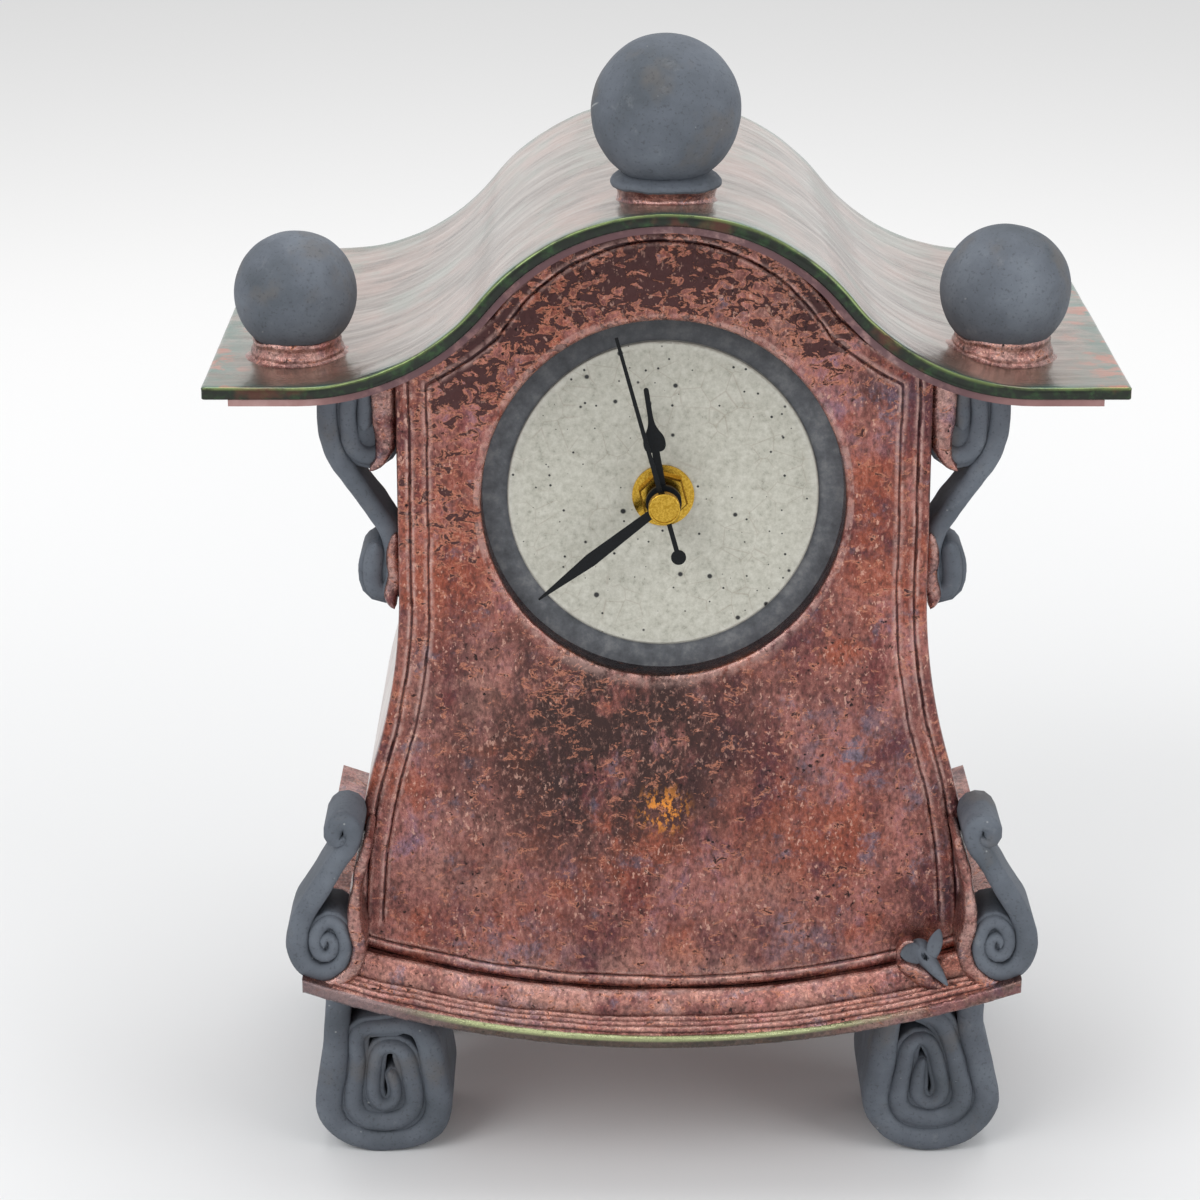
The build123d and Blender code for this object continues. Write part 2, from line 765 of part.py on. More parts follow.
# Mouse head: a teardrop that looks down over the step, with two round ears
look = Vector(*mouse_look).normalized()
mouse_middle = Vector(mouse_x, mouse_y, mouse_height)
nose_reach = mouse_head_length - mouse_head_radius - mouse_nose_radius
slope = asin((mouse_head_radius - mouse_nose_radius) / nose_reach)
head_place = Plane(origin=mouse_middle, z_dir=look)
with BuildPart() as mouse_ornament:
    with Locations(head_place.location):
        Sphere(mouse_head_radius)
    with Locations(head_place.offset(mouse_head_radius * sin(slope)).location):
        Cone(
            mouse_head_radius * cos(slope),
            mouse_nose_radius * cos(slope),
            nose_reach - (mouse_head_radius - mouse_nose_radius) * sin(slope),
            align=(Align.CENTER, Align.CENTER, Align.MIN),
        )
    with Locations(head_place.offset(nose_reach).location):
        Sphere(mouse_nose_radius)
    for ear in (-1, 1):
        ear_offset = polar(ear * mouse_ear_spread, mouse_ear_tilt)
        ear_place = mouse_middle + Vector(ear_offset.X, 0, ear_offset.Y + mouse_ear_rise)
        with BuildSketch(upright(ear_place.Y)):
            with Locations((ear_place.X, ear_place.Z)):
                Circle(mouse_ear_radius)
        extrude(amount=mouse_ear_thickness)
    for neighbour in (front_slab.part, base_step.part, base_plate.part, lower_scrolls[1]):
        add(neighbour, mode=Mode.SUBTRACT)
keep(mouse_ornament, "mouse_ornament")

# Dial
with BuildPart() as dial_plate:
    disc(dial_radius, slab_thickness, dial_back_depth)
    disc(dial_glaze_radius, glaze_depth, slab_thickness)
    fillet(dial_plate.edges().sort_by(Axis(axis_point, slab_out))[-1], dial_glaze_round)
    disc(bushing_radius + fit_gap, glaze_depth - overrun, dial_back_depth + overrun, mode=Mode.SUBTRACT)
keep(dial_plate, "dial_plate")

# Bushing and what clamps the dial
with BuildPart() as threaded_bushing:
    disc(bushing_radius, bushing_front_depth, case_inner_depth)
    disc(bushing_flange_radius, case_inner_depth, case_inner_depth + bushing_flange_thickness)
    for ring in range(int((nut_back_depth - bushing_front_depth) / thread_pitch)):
        with BuildSketch(dial_plane(bushing_front_depth + (ring + 1) * thread_pitch)):
            Circle(bushing_radius + overrun)
            Circle(bushing_radius - thread_depth, mode=Mode.SUBTRACT)
        extrude(amount=thread_pitch / 2, mode=Mode.SUBTRACT)
    flange_back = case_inner_depth + bushing_flange_thickness
    disc(bushing_bore, bushing_front_depth - overrun, flange_back + overrun, mode=Mode.SUBTRACT)
keep(threaded_bushing, "threaded_bushing")

with BuildPart() as rubber_gasket:
    disc(gasket_radius, dial_back_depth, case_front_depth)
    disc(bushing_radius + fit_gap, dial_back_depth - overrun, case_front_depth + overrun, mode=Mode.SUBTRACT)
keep(rubber_gasket, "rubber_gasket")

with BuildPart() as brass_washer:
    disc(washer_radius, nut_back_depth, glaze_depth)
    disc(bushing_radius + fit_gap, nut_back_depth - overrun, glaze_depth + overrun, mode=Mode.SUBTRACT)
keep(brass_washer, "brass_washer")

with BuildPart() as hex_nut:
    with BuildSketch(dial_plane(nut_back_depth, clock_angle=nut_angle)):
        RegularPolygon(nut_across_flats / 2, 6, major_radius=False)
    extrude(amount=nut_thickness)
    chamfer(hex_nut.faces().sort_by(Axis(axis_point, slab_out))[-1].edges(), nut_chamfer)
    disc(bushing_radius + fit_gap, nut_front_depth - overrun, nut_back_depth + overrun, mode=Mode.SUBTRACT)
keep(hex_nut, "hex_nut")

# Hands
hour_hub_back = hour_hand_depth + (hour_hub_height - hour_hand_thickness) / 2
minute_hub_back = minute_hand_depth + (minute_hub_height - minute_hand_thickness) / 2
second_hub_back = second_hand_depth + (second_hub_height - second_hand_thickness) / 2
hour_hub_front = hour_hub_back - hour_hub_height
minute_hub_front = minute_hub_back - minute_hub_height
second_hub_front = second_hub_back - second_hub_height
cap_front = second_hub_front - cap_height

with BuildPart() as hour_hand:
    with BuildSketch(dial_plane(hour_hand_depth, clock_angle=hour_angle)):
        tip = hour_tip_width / 2
        round_start = hour_hand_length - tip
        with BuildLine():
            for side in (-1, 1):
                waist = (side * hour_shank_neck / 2, hour_bulb_reach - hour_bulb_radius)
                belly = (side * hour_bulb_radius, hour_bulb_reach)
                neck = (side * tip, hour_neck_reach)
                Line((side * hour_shank_root / 2, 0), waist)
                Spline(waist, belly, neck, tangents=((side, 0), (0, 1)))
                Line(neck, (side * tip, round_start))
            Line((-hour_shank_root / 2, 0), (hour_shank_root / 2, 0))
            ThreePointArc((-tip, round_start), (0, hour_hand_length), (tip, round_start))
        make_face()
    extrude(amount=hour_hand_thickness)
    disc(hour_hub_radius, hour_hub_front, hour_hub_back)
    disc(hour_tube_radius, hour_hub_front - overrun, hour_hub_back + overrun, mode=Mode.SUBTRACT)
keep(hour_hand, "hour_hand")

with BuildPart() as minute_hand:
    with BuildSketch(dial_plane(minute_hand_depth, clock_angle=minute_angle)):
        with BuildLine():
            Polyline(
                (-minute_root_width / 2, 0),
                (-minute_blade_width / 2, minute_blade_reach),
                (-minute_tip_width / 2, minute_hand_length),
                (minute_tip_width / 2, minute_hand_length),
                (minute_blade_width / 2, minute_blade_reach),
                (minute_root_width / 2, 0),
                close=True,
            )
        make_face()
    extrude(amount=minute_hand_thickness)
    disc(minute_hub_radius, minute_hub_front, minute_hub_back)
    disc(minute_tube_radius, minute_hub_front - overrun, minute_hub_back + overrun, mode=Mode.SUBTRACT)
keep(minute_hand, "minute_hand")

with BuildPart() as second_hand:
    with BuildSketch(dial_plane(second_hand_depth, clock_angle=second_angle)):
        with BuildLine():
            Polyline(
                (-second_root_width / 2, -second_tail_reach),
                (-second_root_width / 2, 0),
                (-second_tip_width / 2, second_hand_length),
                (second_tip_width / 2, second_hand_length),
                (second_root_width / 2, 0),
                (second_root_width / 2, -second_tail_reach),
                close=True,
            )
        make_face()
        with Locations((0, -second_tail_reach)):
            Circle(second_weight_radius)
    extrude(amount=second_hand_thickness)
    disc(second_hub_radius, second_hub_front, second_hub_back)
    disc(seconds_arbor_radius, second_hub_front - overrun, second_hub_back + overrun, mode=Mode.SUBTRACT)
keep(second_hand, "second_hand")

with BuildPart() as second_hand_cap:
    disc(cap_radius, cap_front, second_hub_front)
    fillet(second_hand_cap.edges().sort_by(Axis(axis_point, slab_out))[-1], cap_round)
    disc(cap_radius - cap_rim_width, cap_front - overrun, cap_front + cap_dish_depth, mode=Mode.SUBTRACT)
    socket_end = second_hub_front - cap_socket_depth
    disc(seconds_arbor_radius, socket_end, second_hub_front + overrun, mode=Mode.SUBTRACT)
keep(second_hand_cap, "second_hand_cap")

# Wheels on the clock's axis
with BuildPart() as hour_wheel:
    wheel_phase = minute_work_angle + 180 / hour_wheel_teeth
    toothed(hour_wheel_teeth, hour_module, wheel_phase, hour_layer, gear_thickness)
    disc(hour_tube_radius, hour_hub_front, hour_layer)
    disc(minute_tube_radius + running_gap, hour_hub_front - overrun, hour_layer + overrun, mode=Mode.SUBTRACT)
keep(hour_wheel, "hour_wheel")

with BuildPart() as centre_wheel:
    wheel_phase = third_angle + 180 / centre_wheel_teeth
    toothed(centre_wheel_teeth, centre_module, wheel_phase, centre_layer, gear_thickness)
    toothed(cannon_teeth, cannon_module, minute_work_angle, cannon_layer, pinion_thickness)
    disc(minute_tube_radius, minute_hub_front, centre_layer)
    bore = seconds_arbor_radius + running_gap
    disc(bore, minute_hub_front - overrun, centre_layer + overrun, mode=Mode.SUBTRACT)
keep(centre_wheel, "centre_wheel")

with BuildPart() as seconds_wheel:
    disc(seconds_arbor_radius, second_hub_front - cap_socket_depth, cover_back_depth - pivot_inset)
    toothed(seconds_pinion_teeth, third_module, third_angle, third_layer, pinion_thickness)
    wheel_phase = fifth_angle + 180 / seconds_wheel_teeth
    toothed(seconds_wheel_teeth, seconds_module, wheel_phase, seconds_layer, gear_thickness)
keep(seconds_wheel, "seconds_wheel")

# Wheels on their own arbors
with BuildPart() as third_wheel:
    arbor(arbor_radius, third_at)
    wheel_phase = third_angle + 180 + 180 / third_wheel_teeth
    toothed(third_wheel_teeth, third_module, wheel_phase, third_layer, gear_thickness, third_at)
    toothed(third_pinion_teeth, centre_module, third_angle + 180, centre_layer, pinion_thickness, third_at)
keep(third_wheel, "third_wheel")

with BuildPart() as fifth_wheel:
    arbor(arbor_radius, fifth_at)
    wheel_phase = rotor_angle + 180 / fifth_wheel_teeth
    toothed(fifth_wheel_teeth, fifth_module, wheel_phase, fifth_layer, gear_thickness, fifth_at)
    pinion_phase = fifth_angle + 180
    toothed(fifth_pinion_teeth, seconds_module, pinion_phase, seconds_layer, pinion_thickness, fifth_at)
keep(fifth_wheel, "fifth_wheel")

magnet_back = fifth_layer - pinion_thickness - wheel_spacing
magnet_front = magnet_back - magnet_thickness
with BuildPart() as rotor:
    arbor(rotor_arbor_radius, rotor_at)
    toothed(rotor_pinion_teeth, fifth_module, rotor_angle + 180, fifth_layer, pinion_thickness, rotor_at)
    disc(magnet_radius, magnet_front, magnet_back, rotor_at)
keep(rotor, "rotor")

knob_front = cover_back_depth + knob_lift
knob_back = knob_front + knob_thickness
with BuildPart() as minute_work_wheel:
    disc(setting_arbor_radius, case_front_depth + pivot_inset, knob_back, minute_work_at)
    wheel_phase = minute_work_angle + 180 + 180 / minute_work_teeth
    toothed(minute_work_teeth, cannon_module, wheel_phase, cannon_layer, gear_thickness, minute_work_at)
    pinion_phase = minute_work_angle + 180
    toothed(minute_work_pinion_teeth, hour_module, pinion_phase, hour_layer, pinion_thickness, minute_work_at)
keep(minute_work_wheel, "minute_work_wheel")

with BuildPart() as setting_knob:
    with BuildSketch(dial_plane(knob_back, minute_work_at)):
        Circle(knob_radius)
        with PolarLocations(knob_radius, knob_notches):
            Circle(knob_notch_radius, mode=Mode.SUBTRACT)
        Circle(setting_arbor_radius, mode=Mode.SUBTRACT)
    extrude(amount=knob_thickness)
keep(setting_knob, "setting_knob")

# Stator and coil, carried by posts of the case
stator_back = (magnet_front + magnet_back + stator_thickness) / 2
stator_front = stator_back - stator_thickness
stator_left = rotor_at.X - stator_width / 2
core_at = Vector(stator_left - coil_core_length / 2, rotor_at.Y)
with BuildPart() as stator:
    with BuildSketch(dial_plane(stator_back, rotor_at)):
        Rectangle(stator_width, stator_height)
        Circle(magnet_radius + stator_gap, mode=Mode.SUBTRACT)
    extrude(amount=stator_thickness)
keep(stator, "stator")

with BuildPart() as coil_core:
    with BuildSketch(dial_plane(stator_back, core_at)):
        Rectangle(coil_core_length, coil_core_height)
    extrude(amount=stator_thickness)
keep(coil_core, "coil_core")

coil_middle = dial_point((stator_front + stator_back) / 2, core_at)
with BuildPart() as drive_coil:
    with BuildSketch(Plane(origin=coil_middle, x_dir=slab_up, z_dir=(1, 0, 0))):
        Circle(coil_radius)
    extrude(amount=coil_length / 2, both=True)
    add(coil_core.part, mode=Mode.SUBTRACT)
keep(drive_coil, "drive_coil")

# Movement case and cover
inner_width = case_width - 2 * case_wall
bay_wall_middle = bay_wall_height - bay_wall_thickness / 2
bay_floor = -case_width / 2 + case_wall
pivots = [
    (third_at, arbor_radius),
    (fifth_at, arbor_radius),
    (rotor_at, rotor_arbor_radius),
    (minute_work_at, setting_arbor_radius),
]
with BuildPart() as movement_case:
    with BuildSketch(dial_plane(case_back_depth)):
        Rectangle(case_width, case_width)
    extrude(amount=case_depth)
    with BuildSketch(dial_plane(case_back_depth)):
        Rectangle(inner_width, inner_width)
        with Locations((0, bay_wall_middle)):
            Rectangle(inner_width, bay_wall_thickness, mode=Mode.SUBTRACT)
    extrude(amount=case_depth - case_wall, mode=Mode.SUBTRACT)
    for end in (-1, 1):
        post_at = rotor_at + Vector(end, end) * (stator_height / 2 - stator_post_radius)
        post_at = post_at + Vector(end * (stator_width - stator_height) / 2, 0)
        with BuildSketch(dial_plane(case_inner_depth, post_at)):
            Circle(stator_post_radius)
        extrude(amount=case_inner_depth - stator_front)
    hole_start = case_front_depth - overrun
    hole_end = case_inner_depth + overrun
    disc(bushing_radius + fit_gap, hole_start, hole_end, mode=Mode.SUBTRACT)
    for at, radius in pivots:
        disc(radius + running_gap, hole_start, hole_end, at, mode=Mode.SUBTRACT)
keep(movement_case, "movement_case")

cover_height = case_width / 2 - bay_wall_height + bay_wall_thickness
cover_at = Vector(0, case_width / 2 - cover_height / 2)
with BuildPart() as movement_cover:
    with BuildSketch(dial_plane(cover_back_depth, cover_at)):
        Rectangle(case_width, cover_height)
    extrude(amount=cover_thickness)
    for at, radius in pivots + [(Vector(0, 0), seconds_arbor_radius)]:
        hole_start = case_back_depth - overrun
        disc(radius + running_gap, hole_start, cover_back_depth + overrun, at, mode=Mode.SUBTRACT)
keep(movement_cover, "movement_cover")

# Circuit board with its crystal, on the case's front wall
board_at = Vector(-inner_width / 2 + board_width / 2 + fit_gap, 0)
board_back = case_inner_depth + board_thickness
with BuildPart() as circuit_board:
    with BuildSketch(dial_plane(board_back, board_at)):
        Rectangle(board_width, board_height)
    extrude(amount=board_thickness)
keep(circuit_board, "circuit_board")

with BuildPart() as quartz_crystal:
    crystal_middle = dial_point(board_back + crystal_radius, board_at)
    with BuildSketch(Plane(origin=crystal_middle, x_dir=(1, 0, 0), z_dir=slab_up)):
        Circle(crystal_radius)
    extrude(amount=crystal_length / 2, both=True)
keep(quartz_crystal, "quartz_crystal")

# Cell and contacts
cell_at = Vector(0, (bay_floor + bay_wall_height - bay_wall_thickness) / 2)
cell_depth = case_inner_depth + cell_clearance + cell_radius
cell_start = -(cell_length + cell_nub_length) / 2


def cell_plane(x):
    """Plane square to the cell's axis at x."""
    return Plane(origin=dial_point(cell_depth, cell_at + Vector(x, 0)), x_dir=slab_up, z_dir=(1, 0, 0))


with BuildPart() as battery_cell:
    with BuildSketch(cell_plane(cell_start)):
        Circle(cell_radius)
    extrude(amount=cell_length)
    with BuildSketch(cell_plane(cell_start + cell_length)):
        Circle(cell_nub_radius)
    extrude(amount=cell_nub_length)
keep(battery_cell, "battery_cell")

for label, x in (
    ("contact_negative", -inner_width / 2),
    ("contact_positive", inner_width / 2 - contact_thickness),
):
    with BuildPart() as contact:
        with BuildSketch(cell_plane(x)):
            Rectangle(contact_height, contact_reach)
        extrude(amount=contact_thickness)
    keep(contact, label)
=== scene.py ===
import json
from math import atan2, cos, pi, radians, sin, sqrt, tan

import bmesh
import bpy
from mathutils import Matrix, Vector, noise


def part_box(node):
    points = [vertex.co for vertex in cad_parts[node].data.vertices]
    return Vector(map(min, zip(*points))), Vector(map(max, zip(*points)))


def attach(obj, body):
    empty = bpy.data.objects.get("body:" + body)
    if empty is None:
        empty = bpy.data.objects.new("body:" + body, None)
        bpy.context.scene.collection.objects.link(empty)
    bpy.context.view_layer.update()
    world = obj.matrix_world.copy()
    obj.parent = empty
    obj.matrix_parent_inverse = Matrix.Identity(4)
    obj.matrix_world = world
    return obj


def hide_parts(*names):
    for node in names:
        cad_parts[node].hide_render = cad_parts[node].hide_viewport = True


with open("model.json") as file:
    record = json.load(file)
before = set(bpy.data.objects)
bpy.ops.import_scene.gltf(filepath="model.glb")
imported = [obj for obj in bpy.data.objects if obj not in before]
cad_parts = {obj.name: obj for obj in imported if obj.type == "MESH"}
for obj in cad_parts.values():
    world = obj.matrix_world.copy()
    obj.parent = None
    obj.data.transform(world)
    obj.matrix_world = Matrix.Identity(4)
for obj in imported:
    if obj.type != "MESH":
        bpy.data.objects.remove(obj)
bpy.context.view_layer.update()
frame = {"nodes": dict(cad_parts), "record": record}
mm = 0.001
noise.seed_set(7)  # the thumb marks fall the same way on every run
weldMm = 0.004  # corners nearer than this are one
print("frame loaded:", len(frame["nodes"]), "nodes")


def tint(hexCode):  # sRGB hex to the linear colour that a shader takes
    parts = [int(hexCode[i:i + 2], 16) / 255 for i in (1, 3, 5)]
    return [p / 12.92 if p <= 0.04045 else ((p + 0.055) / 1.055) ** 2.4 for p in parts] + [1.0]


def feed(tree, node, inputs):  # links a socket to an input, or sets a plain value there
    for key, value in inputs.items():
        if isinstance(value, bpy.types.NodeSocket):
            tree.links.new(value, node.inputs[key])
        else:
            node.inputs[key].default_value = value


def addNode(tree, kind, settings=None, inputs=None):  # one node with its settings, ramp stops and links
    node = tree.nodes.new("ShaderNode" + kind)
    for name, value in (settings or {}).items():
        if name == "stops":
            ramp = node.color_ramp.elements
            ramp[0].position, ramp[1].position = value[0][0], value[-1][0]
            for place, shade in value[1:-1]:
                ramp.new(place)
            for stop, (place, shade) in zip(ramp, value):
                stop.color = tint(shade) if isinstance(shade, str) else (shade, shade, shade, 1)
        else:
            setattr(node, name, value)
    feed(tree, node, inputs or {})
    return node


def newFinish(name):  # an empty finish: its material, tree, surface shader and place in the piece's own metres
    finish = bpy.data.materials.new(name)
    finish.use_nodes = True
    tree = finish.node_tree
    where = addNode(tree, "TexCoord").outputs["Object"]
    return finish, tree, tree.nodes["Principled BSDF"], where


def fadeMask(tree, value, start, end, most=1.0, least=0.0, soft=True):  # least to most as a value runs
    return addNode(tree, "MapRange", {"interpolation_type": "SMOOTHSTEP" if soft else "LINEAR"},
                   {"Value": value, "From Min": start, "From Max": end, "To Min": least, "To Max": most}).outputs[0]


def cloudNoise(tree, where, sizeMm, detail, rough, twist=0.0):  # cloudy grain with that period in mm
    return addNode(tree, "TexNoise", None, {"Vector": where, "Scale": 1000 / sizeMm, "Detail": detail,
                                                      "Roughness": rough, "Distortion": twist}).outputs[0]


def grainMask(tree, where, sizeMm, low, high, detail=3.0, rough=0.55):  # 0 to 1 mask of cloudy grain, period in mm
    return fadeMask(tree, cloudNoise(tree, where, sizeMm, detail, rough), low, high)


def spotMask(tree, where, spot):  # soft round mask about a place on the front, in mm
    flat = addNode(tree, "VectorMath", {"operation": "MULTIPLY"}, {0: where, 1: (1, 0, 1)})
    reach = addNode(tree, "VectorMath", {"operation": "DISTANCE"},
                    {0: flat.outputs[0], 1: (spot["x"] * mm, 0, spot["z"] * mm)})
    return fadeMask(tree, reach.outputs["Value"], spot["reach"] * mm, 0.0, spot["amount"])


def combine(tree, first, second, operation="MULTIPLY"):  # two masks or numbers into one
    return addNode(tree, "Math", {"operation": operation, "use_clamp": True},
                   {0: first, 1: second}).outputs[0]


def addScaled(tree, value, share, base):  # a share of one value on top of another
    return addNode(tree, "Math", {"operation": "MULTIPLY_ADD"}, {0: value, 1: share, 2: base}).outputs[0]


def layered(tree, base, layers):  # lays each colour over the last where its mask is bright
    for mask, shade in layers:
        base = addNode(tree, "Mix", {"data_type": "RGBA"}, {0: mask, 6: base, 7: tint(shade)}).outputs[2]
    return base


# painted light on the front: the dark patch about the middle is a painted reflection, the glint a painted orange
# glint, and the salmon spots a pink that is partly painted sheen about the edges and the opening
copperLook = {
    "crust": [{"x": -16, "z": 284, "reach": 38, "amount": 0.9}, {"x": 16, "z": 284, "reach": 34, "amount": 0.7},
              {"x": -48, "z": 266, "reach": 28, "amount": 0.9}, {"x": -60, "z": 246, "reach": 22, "amount": 0.6},
              {"x": -62, "z": 214, "reach": 30, "amount": 0.5}, {"x": 45, "z": 268, "reach": 24, "amount": 0.75},
              {"x": -30, "z": 160, "reach": 16, "amount": 0.5}],
    "smokeAndReflection": {"x": -16, "z": 142, "reach": 74, "amount": 1.3},
    "slate": [{"x": 56, "z": 140, "reach": 24, "amount": 1.0}, {"x": 61, "z": 242, "reach": 17, "amount": 1.0},
              {"x": -45, "z": 72, "reach": 30, "amount": 0.8}, {"x": 44, "z": 78, "reach": 22, "amount": 0.7}],
    "glint": {"x": 0.5, "z": 121, "reach": 11, "amount": 1.0},
    "salmon": [{"x": -60, "z": 158, "reach": 30, "amount": 0.8}, {"x": -58, "z": 104, "reach": 30, "amount": 0.8},
               {"x": 34, "z": 270, "reach": 36, "amount": 0.9}, {"x": 30, "z": 92, "reach": 30, "amount": 0.6}],
    "rust": [{"x": -66, "z": 200, "reach": 46, "amount": 1.0}, {"x": 64, "z": 196, "reach": 30, "amount": 0.8},
             {"x": 40, "z": 112, "reach": 42, "amount": 0.9}, {"x": -48, "z": 92, "reach": 30, "amount": 0.7},
             {"x": -40, "z": 274, "reach": 24, "amount": 0.7}],
}


def flecks(tree, where, sizeMm, low, high, share):  # round flecks, on a share of cells of that size
    flat = addNode(tree, "SeparateXYZ", None, {0: where})
    across = addScaled(tree, flat.outputs[1], 0.31, flat.outputs[0])
    up = addScaled(tree, flat.outputs[1], 0.43, flat.outputs[2])
    plane = addNode(tree, "CombineXYZ", None, {0: across, 1: up}).outputs[0]
    cell = addNode(tree, "TexVoronoi", {"voronoi_dimensions": "2D"}, {"Vector": plane, "Scale": 1000 / sizeMm})
    pick = addNode(tree, "SeparateColor", None, {0: cell.outputs["Color"]})
    size = fadeMask(tree, pick.outputs[0], 0.0, 1.0, high, low, soft=False)
    near = addNode(tree, "Math", {"operation": "SUBTRACT"}, {0: size, 1: cell.outputs["Distance"]}).outputs[0]
    spot = fadeMask(tree, near, 0.0, 0.06)
    kept = addNode(tree, "Math", {"operation": "LESS_THAN"}, {0: pick.outputs[1], 1: share}).outputs[0]
    return combine(tree, spot, kept)


def copperLustre(name, front):  # raku copper lustre: fumed metal film, salmon to wine, crusted and pitted, with painted glints, highlights, shade and reflections in its colour
    look = copperLook
    finish, tree, surface, where = newFinish(name)
    drawn = addNode(tree, "Mapping", None, {"Vector": where, "Scale": (1, 1, 0.6 if front else 1)}).outputs[0]
    flow = cloudNoise(tree, drawn, 19, 9.0, 0.66, 0.4)
    colour = addNode(tree, "ValToRGB", {"stops": [
        (0.30, "#4d343e"), (0.40, "#633439"), (0.47, "#794742"), (0.53, "#8f5a52"), (0.60, "#a76c66"),
        (0.70, "#876a7e")]}, {0: flow}).outputs[0]
    rust = combine(tree, grainMask(tree, where, 26, 0.52, 0.62, 8.0, 0.68), 0.75)
    wine = combine(tree, grainMask(tree, drawn, 15, 0.54, 0.66, 8.0, 0.66), 0.6)
    slate = combine(tree, grainMask(tree, where, 11, 0.56, 0.68, 8.0, 0.72), 0.6)
    # dark smoke clouds over the whole glaze; on the front this mask also carries a painted dark reflection in the
    # middle
    smokeAndReflection = combine(tree, grainMask(tree, where, 30, 0.56, 0.70, 8.0, 0.68), 0.5)
    pink = grainMask(tree, where, 13, 0.36, 0.62, 8.0, 0.7)
    blush = combine(tree, pink, 0.8)
    if front:
        place = addNode(tree, "SeparateXYZ", None, {0: where})
        # pinker towards the bottom, and about the edges and the opening a pink that is partly the glaze's tone and
        # partly painted sheen
        blush = fadeMask(tree, place.outputs[2], 84 * mm, 64 * mm, 0.8)
        for spot in look["salmon"]:
            blush = combine(tree, blush, combine(tree, spotMask(tree, where, spot), 0.7), "MAXIMUM")
        blush = combine(tree, blush, pink)
        for spot in look["rust"]:
            patch = combine(tree, spotMask(tree, where, spot), grainMask(tree, where, 9, 0.40, 0.56, 8.0, 0.72))
            rust = combine(tree, rust, combine(tree, patch, 0.85), "MAXIMUM")
        for spot in look["slate"]:
            patch = combine(tree, spotMask(tree, where, spot), grainMask(tree, where, 7, 0.46, 0.60, 8.0, 0.72))
            slate = combine(tree, slate, combine(tree, patch, 0.8), "MAXIMUM")
        # painted reflection: a dark cloud over the middle of the front, where the glaze mirrors something dark
        cloud = combine(tree, spotMask(tree, where, look["smokeAndReflection"]),
                        grainMask(tree, drawn, 11, 0.36, 0.54, 8.0, 0.72))
        smokeAndReflection = combine(tree, smokeAndReflection, combine(tree, cloud, 0.95), "MAXIMUM")
    grain = cloudNoise(tree, drawn, 1.3, 6.0, 0.7)
    # painted reflection: the fine grain's troughs are darkened and its peaks lit pink, for the sparkle of a bumpy
    # metal film
    shade = fadeMask(tree, grain, 0.54, 0.34, 0.75, soft=False)
    bright = fadeMask(tree, grain, 0.55, 0.72, 0.65, soft=False)
    colour = layered(tree, colour, [(rust, "#a0523a"), (wine, "#6b2d31"),
                                    (blush, "#b88a7e" if front else "#c09c94"), (slate, "#6a6a7e"),
                                    (smokeAndReflection, "#33211f"), (shade, "#33201f"),
                                    (bright, "#bb8a7c")])
    torn = addNode(tree, "Mapping", None, {"Vector": where, "Scale": (0.75, 1, 1.25)}).outputs[0]
    crust = cloudNoise(tree, torn, 3.4, 9.0, 0.66, 0.6)
    if front:
        weight = 0.0
        for spot in look["crust"]:
            weight = combine(tree, spotMask(tree, where, spot), weight, "ADD")
        crust = addScaled(tree, weight, 0.22, crust)
    lip = fadeMask(tree, crust, 0.575, 0.625, 0.8)
    gone = fadeMask(tree, crust, 0.632, 0.66, 0.95)
    pit = combine(tree, grainMask(tree, where, 1.7, 0.635, 0.68, 4.0, 0.6),
                  grainMask(tree, where, 21, 0.44, 0.58, 5.0))
    # painted glints: small bright pink specks on the grain
    spark = combine(tree, grainMask(tree, drawn, 1.25, 0.605, 0.665, 3.0, 0.6),
                    grainMask(tree, where, 24, 0.40, 0.58, 5.0))
    colour = layered(tree, colour, [(lip, "#c17f66"), (gone, "#3d2226"), (pit, "#241214"),
                                    (combine(tree, spark, 0.6), "#d9aa98")])
    height = addScaled(tree, pit, -1.2, grain)
    if front:
        # painted orange glint on the middle of the front
        orangeGlint = combine(tree, spotMask(tree, where, look["glint"]),
                        grainMask(tree, drawn, 2.0, 0.50, 0.58, 6.0, 0.75))
        score = addNode(tree, "Attribute", {"attribute_name": "score"}).outputs["Fac"]
        # painted highlight on glaze ridges and the lip round the opening; painted shade in scored lines, grooves and
        # the opening's wall
        ridgeHighlight = fadeMask(tree, score, 0.55, 1.0, 0.8, soft=False)
        ridgeHighlight = combine(tree, ridgeHighlight, grainMask(tree, where, 4.0, 0.36, 0.58, 6.0, 0.7))
        grooveShade = fadeMask(tree, score, 0.45, 0.0, 0.75, soft=False)
        colour = layered(tree, colour, [(orangeGlint, "#ee963a"), (ridgeHighlight, "#c8a39a"), (grooveShade, "#2c1719")])
        dents = cloudNoise(tree, drawn, 4.2, 2.0, 0.5)
        height = addScaled(tree, dents, 1.4, height)
    feed(tree, surface, {"Base Color": colour})
    rough = fadeMask(tree, grain, 0.3, 0.7, 0.18, 0.40, soft=False)
    feed(tree, surface, {"Roughness": combine(tree, rough, combine(tree, gone, 0.15), "ADD"), "Metallic": 0.85,
                         "Coat Weight": 0.3, "Coat Roughness": 0.12})
    height = addScaled(tree, gone, -0.7, height)
    bump = addNode(tree, "Bump", None, {"Height": height, "Strength": 0.8, "Distance": 0.45 * mm})
    feed(tree, surface, {"Normal": bump.outputs[0]})
    return finish


roofLook = {"streakMm": (34, 4.6), "frontY": -75.25, "backY": 81.75, "sideX": 130.0}


